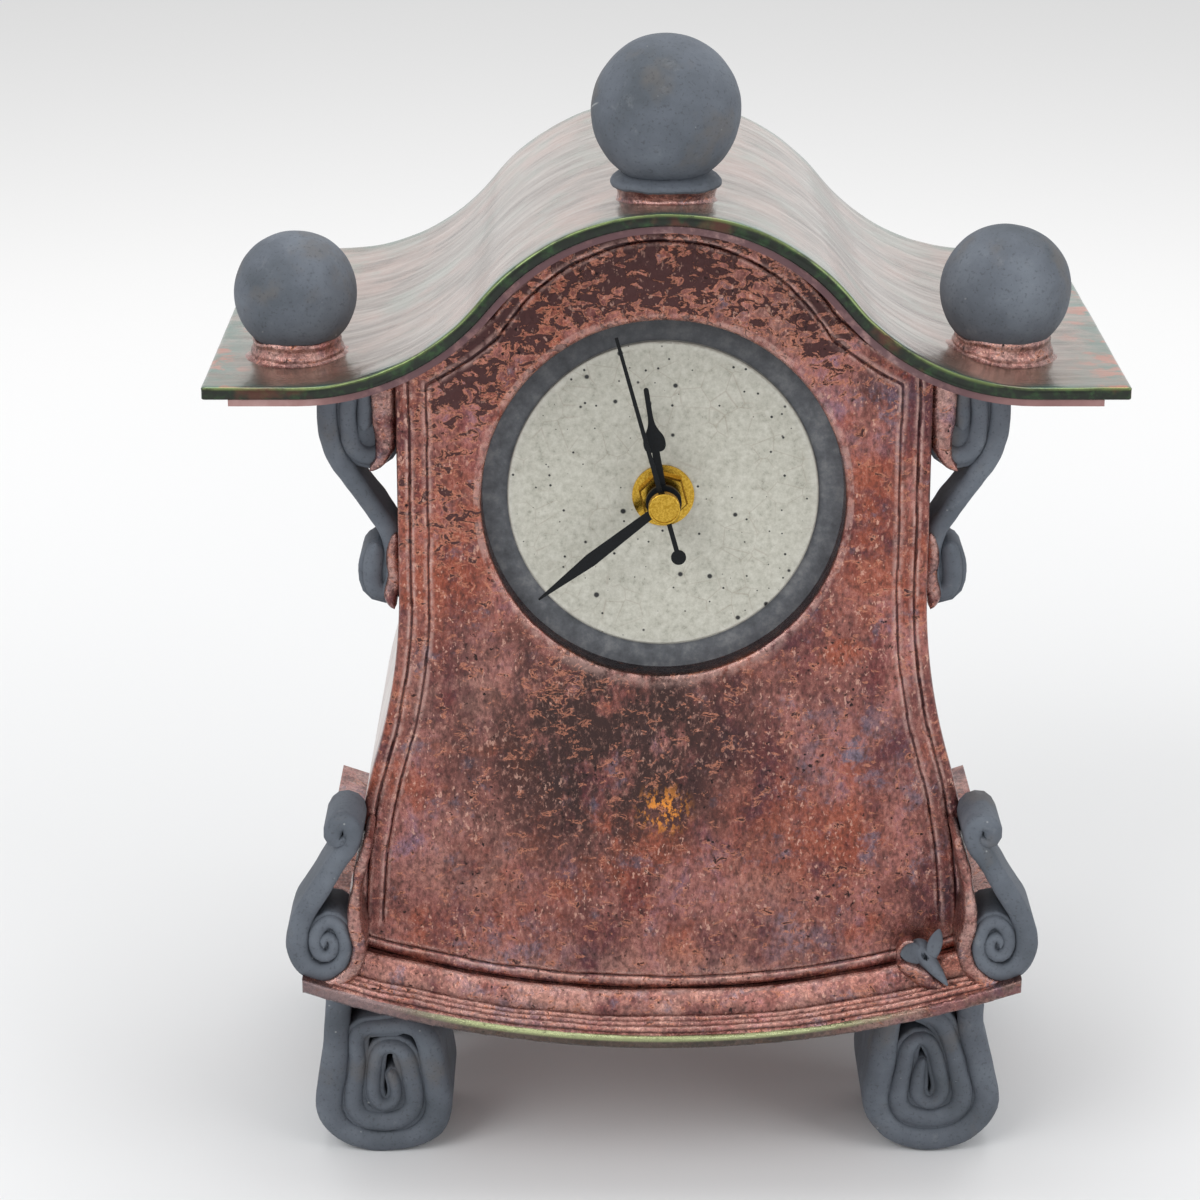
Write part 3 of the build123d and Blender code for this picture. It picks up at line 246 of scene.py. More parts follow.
def roofLustre():  # brushed copper lustre: its pale streaky grey-pink top is a painted sheen of the bright room, browner towards the front of the wings, green where the film thins at the rim, with a painted highlight along the front's upper edge
    look = roofLook
    finish, tree, surface, where = newFinish("brushedRoofLustre")
    run = addNode(tree, "UVMap", {"uv_map": "run"}).outputs[0]
    strokes = addNode(tree, "Mapping", None, {"Vector": run, "Rotation": (0, 0, radians(9)), "Scale": (
        1000 / look["streakMm"][0], 1000 / look["streakMm"][1], 1)}).outputs[0]
    streak = addNode(tree, "TexNoise", None, {"Vector": strokes, "Scale": 1.0, "Detail": 8.0, "Roughness": 0.68,
                                              "Distortion": 0.5}).outputs[0]
    # painted sheen: the pale streaky greys stand for the bright room mirrored at a grazing angle
    base = addNode(tree, "ValToRGB", {"stops": [
        (0.28, "#544a44"), (0.40, "#7a6d65"), (0.54, "#968980"), (0.72, "#b4aaa1")]}, {0: streak}).outputs[0]
    place = addNode(tree, "SeparateXYZ", None, {0: where})
    wide = addNode(tree, "Math", {"operation": "ABSOLUTE"}, {0: place.outputs[0]}).outputs[0]
    pink = combine(tree, grainMask(tree, where, 34, 0.44, 0.62, 5.0, 0.6), 0.55)
    sage = combine(tree, grainMask(tree, where, 27, 0.48, 0.66, 6.0, 0.65), 0.65)
    front = fadeMask(tree, place.outputs[1], (look["frontY"] + 46) * mm, (look["frontY"] + 4) * mm)
    wing = fadeMask(tree, wide, 62 * mm, 96 * mm)
    # browner towards the front of the wings, where less of the room is mirrored: a painted darker reflection
    brown = combine(tree, combine(tree, front, wing), 0.6)
    sideEdge = fadeMask(tree, wide, (look["sideX"] - 20) * mm, look["sideX"] * mm)
    backEdge = fadeMask(tree, place.outputs[1], (look["backY"] - 9) * mm, look["backY"] * mm)
    frontEdge = fadeMask(tree, place.outputs[1], (look["frontY"] + 7) * mm, (look["frontY"] + 0.5) * mm)
    rim = combine(tree, sideEdge, combine(tree, backEdge, frontEdge, "MAXIMUM"), "MAXIMUM")
    teal = combine(tree, rim, grainMask(tree, where, 13, 0.30, 0.62, 5.0, 0.65))
    coral = combine(tree, combine(tree, sideEdge, grainMask(tree, where, 11, 0.54, 0.64, 4.0)), 0.85)
    cut = fadeMask(tree, place.outputs[1], (look["frontY"] + 0.75) * mm, (look["frontY"] + 0.25) * mm)
    moss = combine(tree, cut, grainMask(tree, where, 5.0, 0.46, 0.70, 8.0, 0.75))
    # painted highlight: a yellow-green line along the front's upper edge
    line = addNode(tree, "Attribute", {"attribute_name": "score"}).outputs["Fac"]
    line = combine(tree, line, grainMask(tree, where, 8, 0.30, 0.55, 6.0, 0.7))
    flame = combine(tree, cut, grainMask(tree, where, 21, 0.56, 0.66, 4.0, 0.6))
    colour = layered(tree, base, [(pink, "#b7988d"), (sage, "#8f968b"), (brown, "#75685a"), (teal, "#5f7a70"),
                                  (coral, "#b8705a"),
                                  (cut, "#1d231c"), (moss, "#2f4a2b"), (combine(tree, flame, 0.45), "#6a3428"),
                                  (combine(tree, line, 0.5), "#7f9155")])
    feed(tree, surface, {"Base Color": colour})
    rough = fadeMask(tree, streak, 0.3, 0.7, 0.17, 0.30, soft=False)
    feed(tree, surface, {"Roughness": rough, "Metallic": 0.75, "Coat Weight": 0.3, "Coat Roughness": 0.08})
    bump = addNode(tree, "Bump", None, {"Height": streak, "Strength": 0.35, "Distance": 0.4 * mm})
    feed(tree, surface, {"Normal": bump.outputs[0]})
    return finish


def smokedClay():  # unglazed smoked stoneware: matt carbon grey, blue to brown, fine grit and pale dust
    finish, tree, surface, where = newFinish("smokedStonewareClay")
    cloud = cloudNoise(tree, where, 26, 7.0, 0.6)
    base = addNode(tree, "ValToRGB",
                   {"stops": [(0.3, "#4b5158"), (0.5, "#5b616a"), (0.7, "#6c737c")]}, {0: cloud}).outputs[0]
    brown = combine(tree, grainMask(tree, where, 19, 0.54, 0.70, 4.0), 0.45)
    grit = combine(tree, grainMask(tree, where, 0.9, 0.56, 0.70, 2.0), 0.4)
    scuff = combine(tree, grainMask(tree, where, 7, 0.58, 0.74, 6.0, 0.7), 0.3)
    dust = combine(tree, flecks(tree, where, 9.0, 0.02, 0.06, 0.3), 0.6)
    colour = layered(tree, base, [(brown, "#66605a"), (grit, "#3a3c40"), (scuff, "#868a8e"), (dust, "#b4b6b6")])
    feed(tree, surface, {"Base Color": colour, "Roughness": 0.72, "Specular IOR Level": 0.35})
    grain = cloudNoise(tree, where, 1.6, 5.0, 0.65)
    bump = addNode(tree, "Bump", None, {"Height": grain, "Strength": 0.4, "Distance": 0.3 * mm})
    feed(tree, surface, {"Normal": bump.outputs[0]})
    return finish


dialLook = {"z": 216.0, "glaze": 45.4, "speckMm": 8.5}


def dialGlaze():  # grey-white glaze with iron specks and tea-stained craze, on a bare smoked clay ring
    look = dialLook
    finish, tree, surface, where = newFinish("whiteCrazedDialGlaze")
    flat = addNode(tree, "VectorMath", {"operation": "MULTIPLY"}, {0: where, 1: (1, 0, 1)}).outputs[0]
    reach = addNode(tree, "VectorMath", {"operation": "DISTANCE"},
                    {0: flat, 1: (0, 0, (look["z"] - 0.9) * mm)}).outputs["Value"]
    ring = fadeMask(tree, reach, look["glaze"] * mm, (look["glaze"] + 0.5) * mm)
    shoulder = fadeMask(tree, reach, (look["glaze"] - 2.2) * mm, look["glaze"] * mm)
    cloud = cloudNoise(tree, where, 2.2, 8.0, 0.75)
    base = addNode(tree, "ValToRGB", {"stops": [
        (0.30, "#8e8e83"), (0.43, "#b0afa3"), (0.58, "#c0bfb4"), (0.75, "#cdccc2")]}, {0: cloud}).outputs[0]
    craze = addNode(tree, "TexVoronoi", {"feature": "DISTANCE_TO_EDGE"},
                    {"Vector": where, "Scale": 1000 / 6.5}).outputs["Distance"]
    line = fadeMask(tree, craze, 0.03, 0.0, 0.4, soft=False)
    line = combine(tree, line, grainMask(tree, where, 16, 0.45, 0.6))
    stain = combine(tree, grainMask(tree, where, 2.4, 0.60, 0.74, 5.0, 0.75), 0.5)
    speck = combine(tree, flecks(tree, where, look["speckMm"], 0.0, 0.13, 0.5),
                    flecks(tree, where, 3.6, 0.0, 0.14, 0.35), "MAXIMUM")
    clayCloud = cloudNoise(tree, where, 6, 8.0, 0.72)
    bare = addNode(tree, "ValToRGB", {"stops": [(0.3, "#44474b"), (0.5, "#5e6166"), (0.7, "#7f8183")]},
                   {0: clayCloud}).outputs[0]
    # painted shadow: the bare ring darkens towards its top, under the slab's lip
    high = addNode(tree, "SeparateXYZ", None, {0: where}).outputs[2]
    high = fadeMask(tree, high, (look["z"] + 14) * mm, (look["z"] + 50) * mm, 0.5)
    bare = layered(tree, bare, [(high, "#2f3033")])
    colour = layered(tree, base, [(line, "#8d7f70"), (stain, "#908d82"), (combine(tree, shoulder, 0.3), "#d6d5cd"),
                                  (speck, "#17181a")])
    colour = addNode(tree, "Mix", {"data_type": "RGBA"}, {0: ring, 6: colour, 7: bare}).outputs[2]
    feed(tree, surface, {"Base Color": colour})
    rough = fadeMask(tree, ring, 0.0, 1.0, 0.75, 0.32, soft=False)
    feed(tree, surface, {"Roughness": rough})
    bump = addNode(tree, "Bump", None, {"Height": cloud, "Strength": 0.25, "Distance": 0.3 * mm})
    feed(tree, surface, {"Normal": bump.outputs[0]})
    return finish


def paleGlaze(name, stops, lines, shadeReach=None):  # pale fumed glaze: milky pink-grey, copper blushes, craze
    finish, tree, surface, where = newFinish(name)
    cloud = cloudNoise(tree, where, 21, 7.0, 0.62)
    base = addNode(tree, "ValToRGB", {"stops": stops}, {0: cloud}).outputs[0]
    blush = combine(tree, grainMask(tree, where, 30, 0.55, 0.72, 6.0, 0.7), 0.6)
    craze = addNode(tree, "TexVoronoi", {"feature": "DISTANCE_TO_EDGE"},
                    {"Vector": where, "Scale": 1000 / 9}).outputs["Distance"]
    line = fadeMask(tree, craze, 0.028, 0.0, lines, soft=False)
    colour = layered(tree, base, [(blush, "#9a6a5c"), (line, "#5d5350")])
    if shadeReach:  # painted shade: dark wine streaks within that reach of the middle, under the roof's arch
        wide = addNode(tree, "Math", {"operation": "ABSOLUTE"},
                       {0: addNode(tree, "SeparateXYZ", None, {0: where}).outputs[0]})
        near = fadeMask(tree, wide.outputs[0], shadeReach * mm, (shadeReach - 25) * mm, 0.85)
        near = combine(tree, near, grainMask(tree, where, 6, 0.28, 0.52, 8.0, 0.7))
        colour = layered(tree, colour, [(near, "#4d3138")])
    feed(tree, surface, {"Base Color": colour, "Roughness": 0.28, "Metallic": 0.2})
    bump = addNode(tree, "Bump", None, {"Height": cloud, "Strength": 0.3, "Distance": 0.5 * mm})
    feed(tree, surface, {"Normal": bump.outputs[0]})
    return finish


def plainFinish(name, low, high, sizeMm, rough, metallic=0.0, bumpMm=0.02):  # moulded or stamped, faint grain
    finish, tree, surface, where = newFinish(name)
    grain = grainMask(tree, where, sizeMm, 0.35, 0.65, 4.0)
    colour = addNode(tree, "Mix", {"data_type": "RGBA"}, {0: grain, 6: tint(low), 7: tint(high)}).outputs[2]
    feed(tree, surface, {"Base Color": colour, "Roughness": rough, "Metallic": metallic})
    bump = addNode(tree, "Bump", None, {"Height": grain, "Strength": 0.3, "Distance": bumpMm * mm})
    feed(tree, surface, {"Normal": bump.outputs[0]})
    return finish


plateLook = {"centre": 365.5, "radius": 310.0, "front": -81.75}


def plateLustre():  # copper lustre with a painted yellow-green highlight along the front's upper edge, dull at the ends
    look = plateLook
    finish = copper.copy()
    finish.name = "edgedPlateLustre"
    tree = finish.node_tree
    surface = tree.nodes["Principled BSDF"]
    where = addNode(tree, "TexCoord").outputs["Object"]
    place = addNode(tree, "SeparateXYZ", None, {0: where})
    flat = addNode(tree, "VectorMath", {"operation": "MULTIPLY"}, {0: where, 1: (1, 0, 1)}).outputs[0]
    reach = addNode(tree, "VectorMath", {"operation": "DISTANCE"},
                    {0: flat, 1: (0, 0, look["centre"] * mm)}).outputs["Value"]
    face = fadeMask(tree, place.outputs[1], (look["front"] + 1.1) * mm, (look["front"] + 0.6) * mm)
    # painted highlight: a yellow-green line along the top of the front face
    edgeHighlight = fadeMask(tree, reach, (look["radius"] + 2.0) * mm, (look["radius"] + 1.1) * mm)
    inner = fadeMask(tree, place.outputs[0], -88 * mm, -52 * mm)
    outer = fadeMask(tree, place.outputs[0], 84 * mm, 34 * mm)
    edgeHighlight = combine(tree, combine(tree, edgeHighlight, face), combine(tree, inner, outer))
    bare = combine(tree, face, combine(tree, 1.0, inner, "SUBTRACT"))
    dim = fadeMask(tree, combine(tree, inner, outer), 0.0, 1.0, 0.85, 0.3, soft=False)
    blush = combine(tree, combine(tree, face, combine(tree, 1.0, outer, "SUBTRACT")),
                    grainMask(tree, where, 9, 0.48, 0.58, 5.0))
    colour = surface.inputs["Base Color"].links[0].from_socket
    colour = layered(tree, colour, [(combine(tree, face, dim), "#3a3a33"), (edgeHighlight, "#989e74"),
                                    (combine(tree, bare, 0.6), "#74686c"),
                                    (combine(tree, blush, 0.35), "#7a4652")])
    feed(tree, surface, {"Base Color": colour})
    return finish


copper = copperLustre("copperLustreTrim", False)
copperFront = copperLustre("copperLustreFront", True)
clay = smokedClay()
finishes = {
    "copper_glaze": copper,
    "roof_glaze": roofLustre(),
    "pale_glaze": paleGlaze("paleFumedGlaze", [(0.30, "#a3938f"), (0.48, "#c2b5b0"), (0.62, "#cfc6c1"),
                                               (0.76, "#b7a9a4")], 0.55),
    "smoked_clay": clay,
    "white_glaze": dialGlaze(),
    "brass": plainFinish("polishedBrass", "#a8832b", "#c9a445", 0.6, 0.2, 1.0),
    "black_hands": plainFinish("blackLacquer", "#06080a", "#0c1014", 0.5, 0.5),
    "black_plastic": plainFinish("mouldedBlackPlastic", "#111112", "#1a1a1b", 0.4, 0.5),
    "gear_plastic": plainFinish("mouldedWhitePlastic", "#d8d6cc", "#cfccc0", 2, 0.4),
    "magnet": plainFinish("sinteredMagnet", "#45454a", "#35353a", 0.5, 0.45, 0.6),
    "soft_iron": plainFinish("stampedIron", "#8b8c8f", "#77787b", 0.7, 0.35, 1.0),
    "coil_wire": plainFinish("enamelledWire", "#9c4a20", "#7a3515", 0.2, 0.3, 0.8),
    "board": plainFinish("circuitBoard", "#1d5a35", "#17482a", 1.2, 0.4),
    "bright_metal": plainFinish("platedSteel", "#b9babd", "#a9aaad", 0.8, 0.25, 1.0),
    "cell_wrap": plainFinish("cellWrap", "#1b1c20", "#232429", 1.5, 0.3),
    "rubber": plainFinish("softRubber", "#0c0c0c", "#141414", 0.6, 0.7),
}
lacquer = finishes["black_hands"].node_tree
feed(lacquer, lacquer.nodes["Principled BSDF"], {"Specular IOR Level": 0.2})
for subpart in frame["record"]["subparts"]:
    for slot in frame["nodes"][subpart["node"]].material_slots:
        slot.material = finishes[subpart["material_slot"]]
# the roof's underlay: a paler pink than the copper trim, painted lighter where the roof shades it, and painted shade
# under the arch's middle
pinkEdge = paleGlaze("pinkLustreEdge", [(0.30, "#7a5654"), (0.50, "#936e6b"), (0.66, "#a98884")], 0.0, 105)
frame["nodes"]["roof_underlay"].material_slots[0].material = pinkEdge
frame["nodes"]["base_plate"].material_slots[0].material = plateLustre()
print("finishes made:", len(finishes))


def lumpy(place, sizeMm, amountMm):  # smooth push of a point, like a thumb's
    return noise.noise_vector(place / (sizeMm * mm)) * (amountMm * mm)


def makePiece(name, bm, finish, nodes=(), crease=50):  # closes a mesh and hangs it on the case
    bmesh.ops.remove_doubles(bm, verts=bm.verts, dist=weldMm * mm)
    bmesh.ops.recalc_face_normals(bm, faces=bm.faces)
    for face in bm.faces:
        face.smooth = True
    data = bpy.data.meshes.new(name)
    bm.to_mesh(data)
    bm.free()
    data.set_sharp_from_angle(angle=radians(crease))
    data.materials.append(finish)
    piece = bpy.data.objects.new(name, data)
    bpy.context.collection.objects.link(piece)
    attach(piece, "case")
    if nodes:
        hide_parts(*nodes)
    return piece


roofShape = {"apex": 306.5, "wing": 257.0, "bell": 103.5, "crownShare": 0.504, "halfWidth": 130.0, "thick": 3.6,
             "front": -75.25, "back": 81.75, "cells": (190, 64), "rim": 0.9, "wave": 0.45}
roofRise = roofShape["apex"] - roofShape["wing"]
ogeeRadii = (roofShape["bell"] ** 2 + roofRise ** 2) / (2 * roofRise)
ogeeTurn = 2 * atan2(roofRise, roofShape["bell"])
crownRadius = roofShape["crownShare"] * ogeeRadii
flareRadius = ogeeRadii - crownRadius


def ogeePoint(run):  # place and slope on the roof's curve at a run in mm from its crown
    side = 1 if run >= 0 else -1
    run = abs(run)
    crownRun, flareRun = crownRadius * ogeeTurn, flareRadius * ogeeTurn
    if run < crownRun:
        slope = run / crownRadius
        x, z = crownRadius * sin(slope), roofShape["apex"] - crownRadius * (1 - cos(slope))
    elif run < crownRun + flareRun:
        slope = ogeeTurn - (run - crownRun) / flareRadius
        x = roofShape["bell"] - flareRadius * sin(slope)
        z = roofShape["wing"] + flareRadius * (1 - cos(slope))
    else:
        slope = 0
        x, z = roofShape["bell"] + run - crownRun - flareRun, roofShape["wing"]
    return side * x, z, side * slope


def ogeeHeight(x, drop):  # height of the roof's curve at x, lowered square to itself by drop
    x = abs(x)
    crown, flare = crownRadius - drop, flareRadius + drop
    if x < crown * sin(ogeeTurn):
        return roofShape["apex"] - crownRadius + sqrt(crown ** 2 - x ** 2)
    if x < roofShape["bell"]:
        return roofShape["wing"] + flareRadius - sqrt(flare ** 2 - (roofShape["bell"] - x) ** 2)
    return roofShape["wing"] - drop


halfDepth = (roofShape["back"] - roofShape["front"]) / 2
halfRun = ogeeTurn * ogeeRadii + roofShape["halfWidth"] - roofShape["bell"]
bm = bmesh.new()
bmesh.ops.create_grid(bm, x_segments=roofShape["cells"][0], y_segments=roofShape["cells"][1], size=1)
runMap = bm.loops.layers.uv.new("run")  # metres along the bend and along the depth, for the brush strokes
for face in bm.faces:
    for corner in face.loops:
        corner[runMap].uv = (corner.vert.co.x * halfRun * mm, corner.vert.co.y * halfDepth * mm)
for vert in bm.verts:
    across, along = vert.co.x, vert.co.y
    x, z, slope = ogeePoint(across * halfRun)
    y = (roofShape["front"] + roofShape["back"]) / 2 + along * halfDepth
    vert.co = Vector((x, y, z)) * mm
bmesh.ops.recalc_face_normals(bm, faces=bm.faces)
bmesh.ops.solidify(bm, geom=bm.faces[:], thickness=roofShape["thick"] * mm)
bm.normal_update()
rim = [edge for edge in bm.edges if len(edge.link_faces) == 2 and edge.calc_face_angle() > 1.2]
bmesh.ops.bevel(bm, geom=rim, offset=roofShape["rim"] * mm, affect="EDGES", segments=3, profile=0.5, material=-1)
bm.normal_update()
score = bm.verts.layers.float.new("score")  # 1 on the front's upper edge, where a yellow-green highlight is painted
for vert in bm.verts:
    vert[score] = float(vert.normal.y < -0.25 and vert.normal.z > 0.25)
    lift = noise.noise(vert.co / (31 * mm)) * roofShape["wave"] + noise.noise(vert.co / (7 * mm)) * 0.12
    if vert.normal.z > 0.3:
        vert.co.z += abs(lift) * mm
    elif abs(vert.normal.z) <= 0.3:
        vert.co += vert.normal * lift * mm
makePiece("roofSheet", bm, finishes["roof_glaze"], ["roof_slab"], 60)
print("roof bent")

ballLook = {"lump": 0.4, "lumpSize": 21, "dent": 0.12, "dentSize": 5}
for ballName in ("top_ball", "left_ball", "right_ball"):
    low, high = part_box(ballName)
    radius = (high.x - low.x) / 2
    middle = Vector(((low.x + high.x) / 2, (low.y + high.y) / 2, high.z - radius))
    bm = bmesh.new()
    bmesh.ops.create_icosphere(bm, subdivisions=6, radius=radius, matrix=Matrix.Translation(middle))
    for vert in bm.verts:
        out = (vert.co - middle).normalized()
        vert.co += out * (noise.noise(vert.co / (ballLook["lumpSize"] * mm)) * ballLook["lump"]
                          + noise.noise(vert.co / (ballLook["dentSize"] * mm)) * ballLook["dent"]) * mm
    makePiece(ballName + "_clay", bm, clay, [ballName])
print("balls rolled")

collarLook = {
    "top_ball_collar": {
        "at": (0, -50.5), "ring": [(15.4, -0.3), (13.9, 0.2), (13.6, 0.8), (13.9, 1.8), (14.5, 2.8), (15.0, 3.5)],
        "pad": [
        (14.0, 3.2), (15.2, 3.4), (15.7, 4.0), (15.6, 4.6), (15.0, 5.2), (13.6, 5.9), (11.9, 6.5), (10.2, 6.9)],
        "creep": 0.5},
    "left_ball_collar": {
        "at": (-105.8, -42), "ring": [
        (15.4, -0.2), (14.1, 0.3), (13.5, 1.0), (13.5, 2.0), (13.0, 3.0), (12.7, 4.2), (12.9, 5.4), (12.6, 6.2),
        (11.6, 6.7)], "creep": 2.6},
    "right_ball_collar": {
        "at": (97.6, -42), "ring": [
        (16.4, -0.2), (15.1, 0.4), (14.5, 1.1), (14.5, 2.2), (14.0, 3.4), (13.7, 4.7), (13.9, 6.0), (13.6, 6.9),
        (12.6, 7.4)], "creep": 2.8},
}
for collarName, look in collarLook.items():
    for part in ("ring", "pad"):
        if part not in look:
            continue
        bm = bmesh.new()
        verts = [bm.verts.new((r * mm, 0, z * mm)) for r, z in look[part]]
        for pair in zip(verts, verts[1:]):
            bm.edges.new(pair)
        for _ in range(2):  # finer rows between the drawn points
            bmesh.ops.subdivide_edges(bm, edges=bm.edges[:], cuts=1)
        bmesh.ops.spin(bm, geom=bm.verts[:] + bm.edges[:], axis=(0, 0, 1), cent=(0, 0, 0), angle=2 * pi, steps=112,
                       use_merge=True)
        top = max(z for r, z in look[part])
        for vert in bm.verts:
            share = max(0.0, min(1.0, vert.co.z / (top * mm)))
            swing = vert.co.copy()
            vert.co.z += share * share * look["creep"] * noise.noise(Vector((swing.x, swing.y, 0)) / (13 * mm)) * mm
            vert.co += lumpy(vert.co, 6, 0.35) + lumpy(vert.co, 1.9, 0.12)
            vert.co.x += look["at"][0] * mm
            vert.co.y += look["at"][1] * mm
            seat = ogeeHeight(vert.co.x / mm, 0)
            crown = ogeeHeight(look["at"][0], 0)
            vert.co.z += (crown + (seat - crown) * (1 - share)) * mm
        pad = part == "pad"
        makePiece(collarName + ("_clay" if pad else "_glaze"), bm, clay if pad else copper,
                  [collarName] if not pad else ())
print("collars spun")


def smoothPath(points, stepMm):  # evenly fine run of (x, z, width) through the drawn points
    path = []
    for i in range(len(points) - 1):
        around = [Vector(points[min(max(i + k, 0), len(points) - 1)]) for k in (-1, 0, 1, 2)]
        steps = max(2, round((around[2] - around[1]).xy.length / stepMm))
        for k in range(steps):
            t = k / steps
            path.append(0.5 * (2 * around[1] + (around[2] - around[0]) * t
                               + (2 * around[0] - 5 * around[1] + 4 * around[2] - around[3]) * t ** 2
                               + (3 * around[1] - around[0] - 3 * around[2] + around[3]) * t ** 3))
    path.append(Vector(points[-1]))
    return path


def rollStrap(points, look, stepMm=1.3, bm=None):  # a rounded clay strap laid along its path, its ends pinched round
    path = smoothPath(points, stepMm)
    runs = [0.0]
    for here, ahead in zip(path, path[1:]):
        runs.append(runs[-1] + (ahead - here).xy.length)
    bm = bm or bmesh.new()
    fresh = bmesh.ops.create_grid(bm, x_segments=1, y_segments=1, size=0.5)["verts"]
    wide = sum(point[2] for point in points) / len(points)
    for vert in fresh:
        vert.co = Vector((vert.co.x * wide, vert.co.y * look["depth"], 0))
    sides = list({edge for vert in fresh for edge in vert.link_edges})
    bmesh.ops.bevel(bm, geom=fresh + sides, offset=min(look["edge"], wide * 0.48), affect="VERTICES", segments=5,
                    profile=0.5, material=-1)
    face = max((face for face in bm.faces if all(vert.co.z == 0 for vert in face.verts)),
               key=lambda face: len(face.verts))
    cut = {vert: (vert.co.x / wide, vert.co.y) for vert in face.verts}
    edges = list(face.edges)
    bmesh.ops.delete(bm, geom=[face], context="FACES_ONLY")
    first = list(edges)
    for i, here in enumerate(path):
        ahead = (path[min(i + 1, len(path) - 1)] - path[max(i - 1, 0)]).xy.normalized()
        if i:
            grown = bmesh.ops.extrude_edge_only(bm, edges=edges)["geom"]
            fresh = [g for g in grown if isinstance(g, bmesh.types.BMVert)]
            cut = {vert: cut[edge.other_vert(vert)] for vert in fresh for edge in vert.link_edges
                   if edge.other_vert(vert) in cut}
            edges = [g for g in grown if isinstance(g, bmesh.types.BMEdge) and len(g.link_faces) == 1]
        near = min(runs[i], runs[-1] - runs[i]) / (here.z / 2)
        width = here.z * (sqrt(1 - (1 - max(near, 0.04)) ** 2) if near < 1 else 1)
        for vert, (across, deep) in cut.items():
            vert.co = Vector((here.x - ahead.y * across * width, look["front"] + look["depth"] / 2 + deep,
                              here.y + ahead.x * across * width)) * mm
    bmesh.ops.edgeloop_fill(bm, edges=first)
    bmesh.ops.edgeloop_fill(bm, edges=edges)
    return bm


packLook = {"fatter": 1.45, "setIn": 2.2, "edge": 1.0, "step": 1.8}


def packed(bm, points, look):  # the strap again, fatter and set in, which closes its laps behind their creases
    fat = [(x, z, width * packLook["fatter"]) for x, z, width in points]
    inner = {"front": look["front"] + packLook["setIn"], "depth": look["depth"] - 2 * packLook["setIn"],
             "edge": packLook["edge"]}
    rollStrap(fat, inner, packLook["step"], bm)


def pressed(bm, lump, side=1):  # thumb marks, and the mirror image for the left
    for vert in bm.verts:
        vert.co += lumpy(vert.co, 11, lump) + lumpy(vert.co, 3.5, lump * 0.3)
        vert.co.x *= side
    return bm


upperLook = {
    "front": -47.0, "depth": 16.0, "edge": 2.5, "packed": [(0, 16), (26, 34)],
    "plug": [(86.0, 228.6, 4.6), (86.0, 233.0, 4.8), (86.0, 239.0, 4.8), (86.2, 245.0, 4.6)],
    "path": [
        (86.6, 235.4, 4.4), (86.5, 239.0, 4.6), (86.4, 243.0, 4.7), (86.9, 246.6, 4.7), (88.6, 248.2, 4.8),
        (90.5, 246.6, 5.0), (91.4, 242.6, 5.3), (91.5, 237.0, 5.5), (91.2, 232.0, 5.8), (89.4, 228.6, 5.8),
        (85.6, 227.2, 5.8), (81.8, 228.8, 5.6), (80.4, 232.4, 5.5), (80.4, 238.0, 5.4), (80.8, 244.0, 5.3),
        (82.6, 250.4, 5.2), (88.4, 253.2, 5.2), (94.2, 250.6, 5.5), (97.2, 245.6, 5.9), (97.8, 239.0, 6.2),
        (97.1, 232.6, 6.0), (95.2, 226.6, 6.1), (91.6, 221.2, 6.1), (87.9, 215.6, 6.0), (84.2, 210.1, 6.0),
        (81.0, 205.0, 5.8), (79.7, 200.0, 5.6), (79.5, 193.0, 5.5), (79.9, 187.4, 5.4), (82.4, 184.7, 5.4),
        (85.2, 186.6, 5.6), (85.9, 191.0, 5.8), (85.2, 196.0, 5.6), (84.2, 201.0, 4.6)]}
lowerLook = {
    "front": -79.0, "depth": 21.0, "edge": 2.9, "packed": [(0, 13)],
    "plug": [(99.6, 81.6, 3.0), (100.2, 84.0, 3.0), (100.0, 87.4, 3.0)],
    "path": [
        (101.0, 84.0, 2.4), (101.1, 85.8, 3.0), (99.7, 87.0, 3.4), (98.2, 85.6, 3.6), (98.2, 82.8, 3.8),
        (100.0, 80.6, 4.0), (102.5, 81.4, 4.1), (103.6, 84.9, 4.2), (102.6, 89.2, 4.2), (99.4, 91.9, 4.2),
        (96.2, 90.4, 4.3), (94.9, 86.0, 4.4), (95.0, 81.2, 4.8), (97.2, 76.9, 5.4), (101.8, 74.7, 6.0),
        (106.2, 76.7, 6.4), (108.5, 81.0, 6.6), (108.8, 86.0, 6.6), (107.4, 92.4, 6.4), (103.4, 99.4, 6.3),
        (99.4, 106.2, 6.2), (95.5, 112.6, 6.1), (92.3, 117.6, 6.1), (91.4, 121.2, 6.0), (92.6, 124.0, 5.8),
        (95.2, 124.4, 5.6), (97.2, 122.0, 5.4), (96.6, 119.0, 5.0), (94.6, 118.7, 3.6), (93.8, 120.4, 2.4)]}
for side, name in ((-1, "left"), (1, "right")):
    for kind, look, lump in (("upper", upperLook, 0.45), ("lower", lowerLook, 0.5)):
        bm = rollStrap(look["path"], look)
        for laps in look["packed"]:
            packed(bm, look["path"][laps[0]:laps[1]], look)
        packed(bm, look["plug"], look)
        makePiece(kind + "Scroll_" + name, pressed(bm, lump, side), clay, [kind + "_scroll_" + name],
                  60)
print("scrolls rolled")

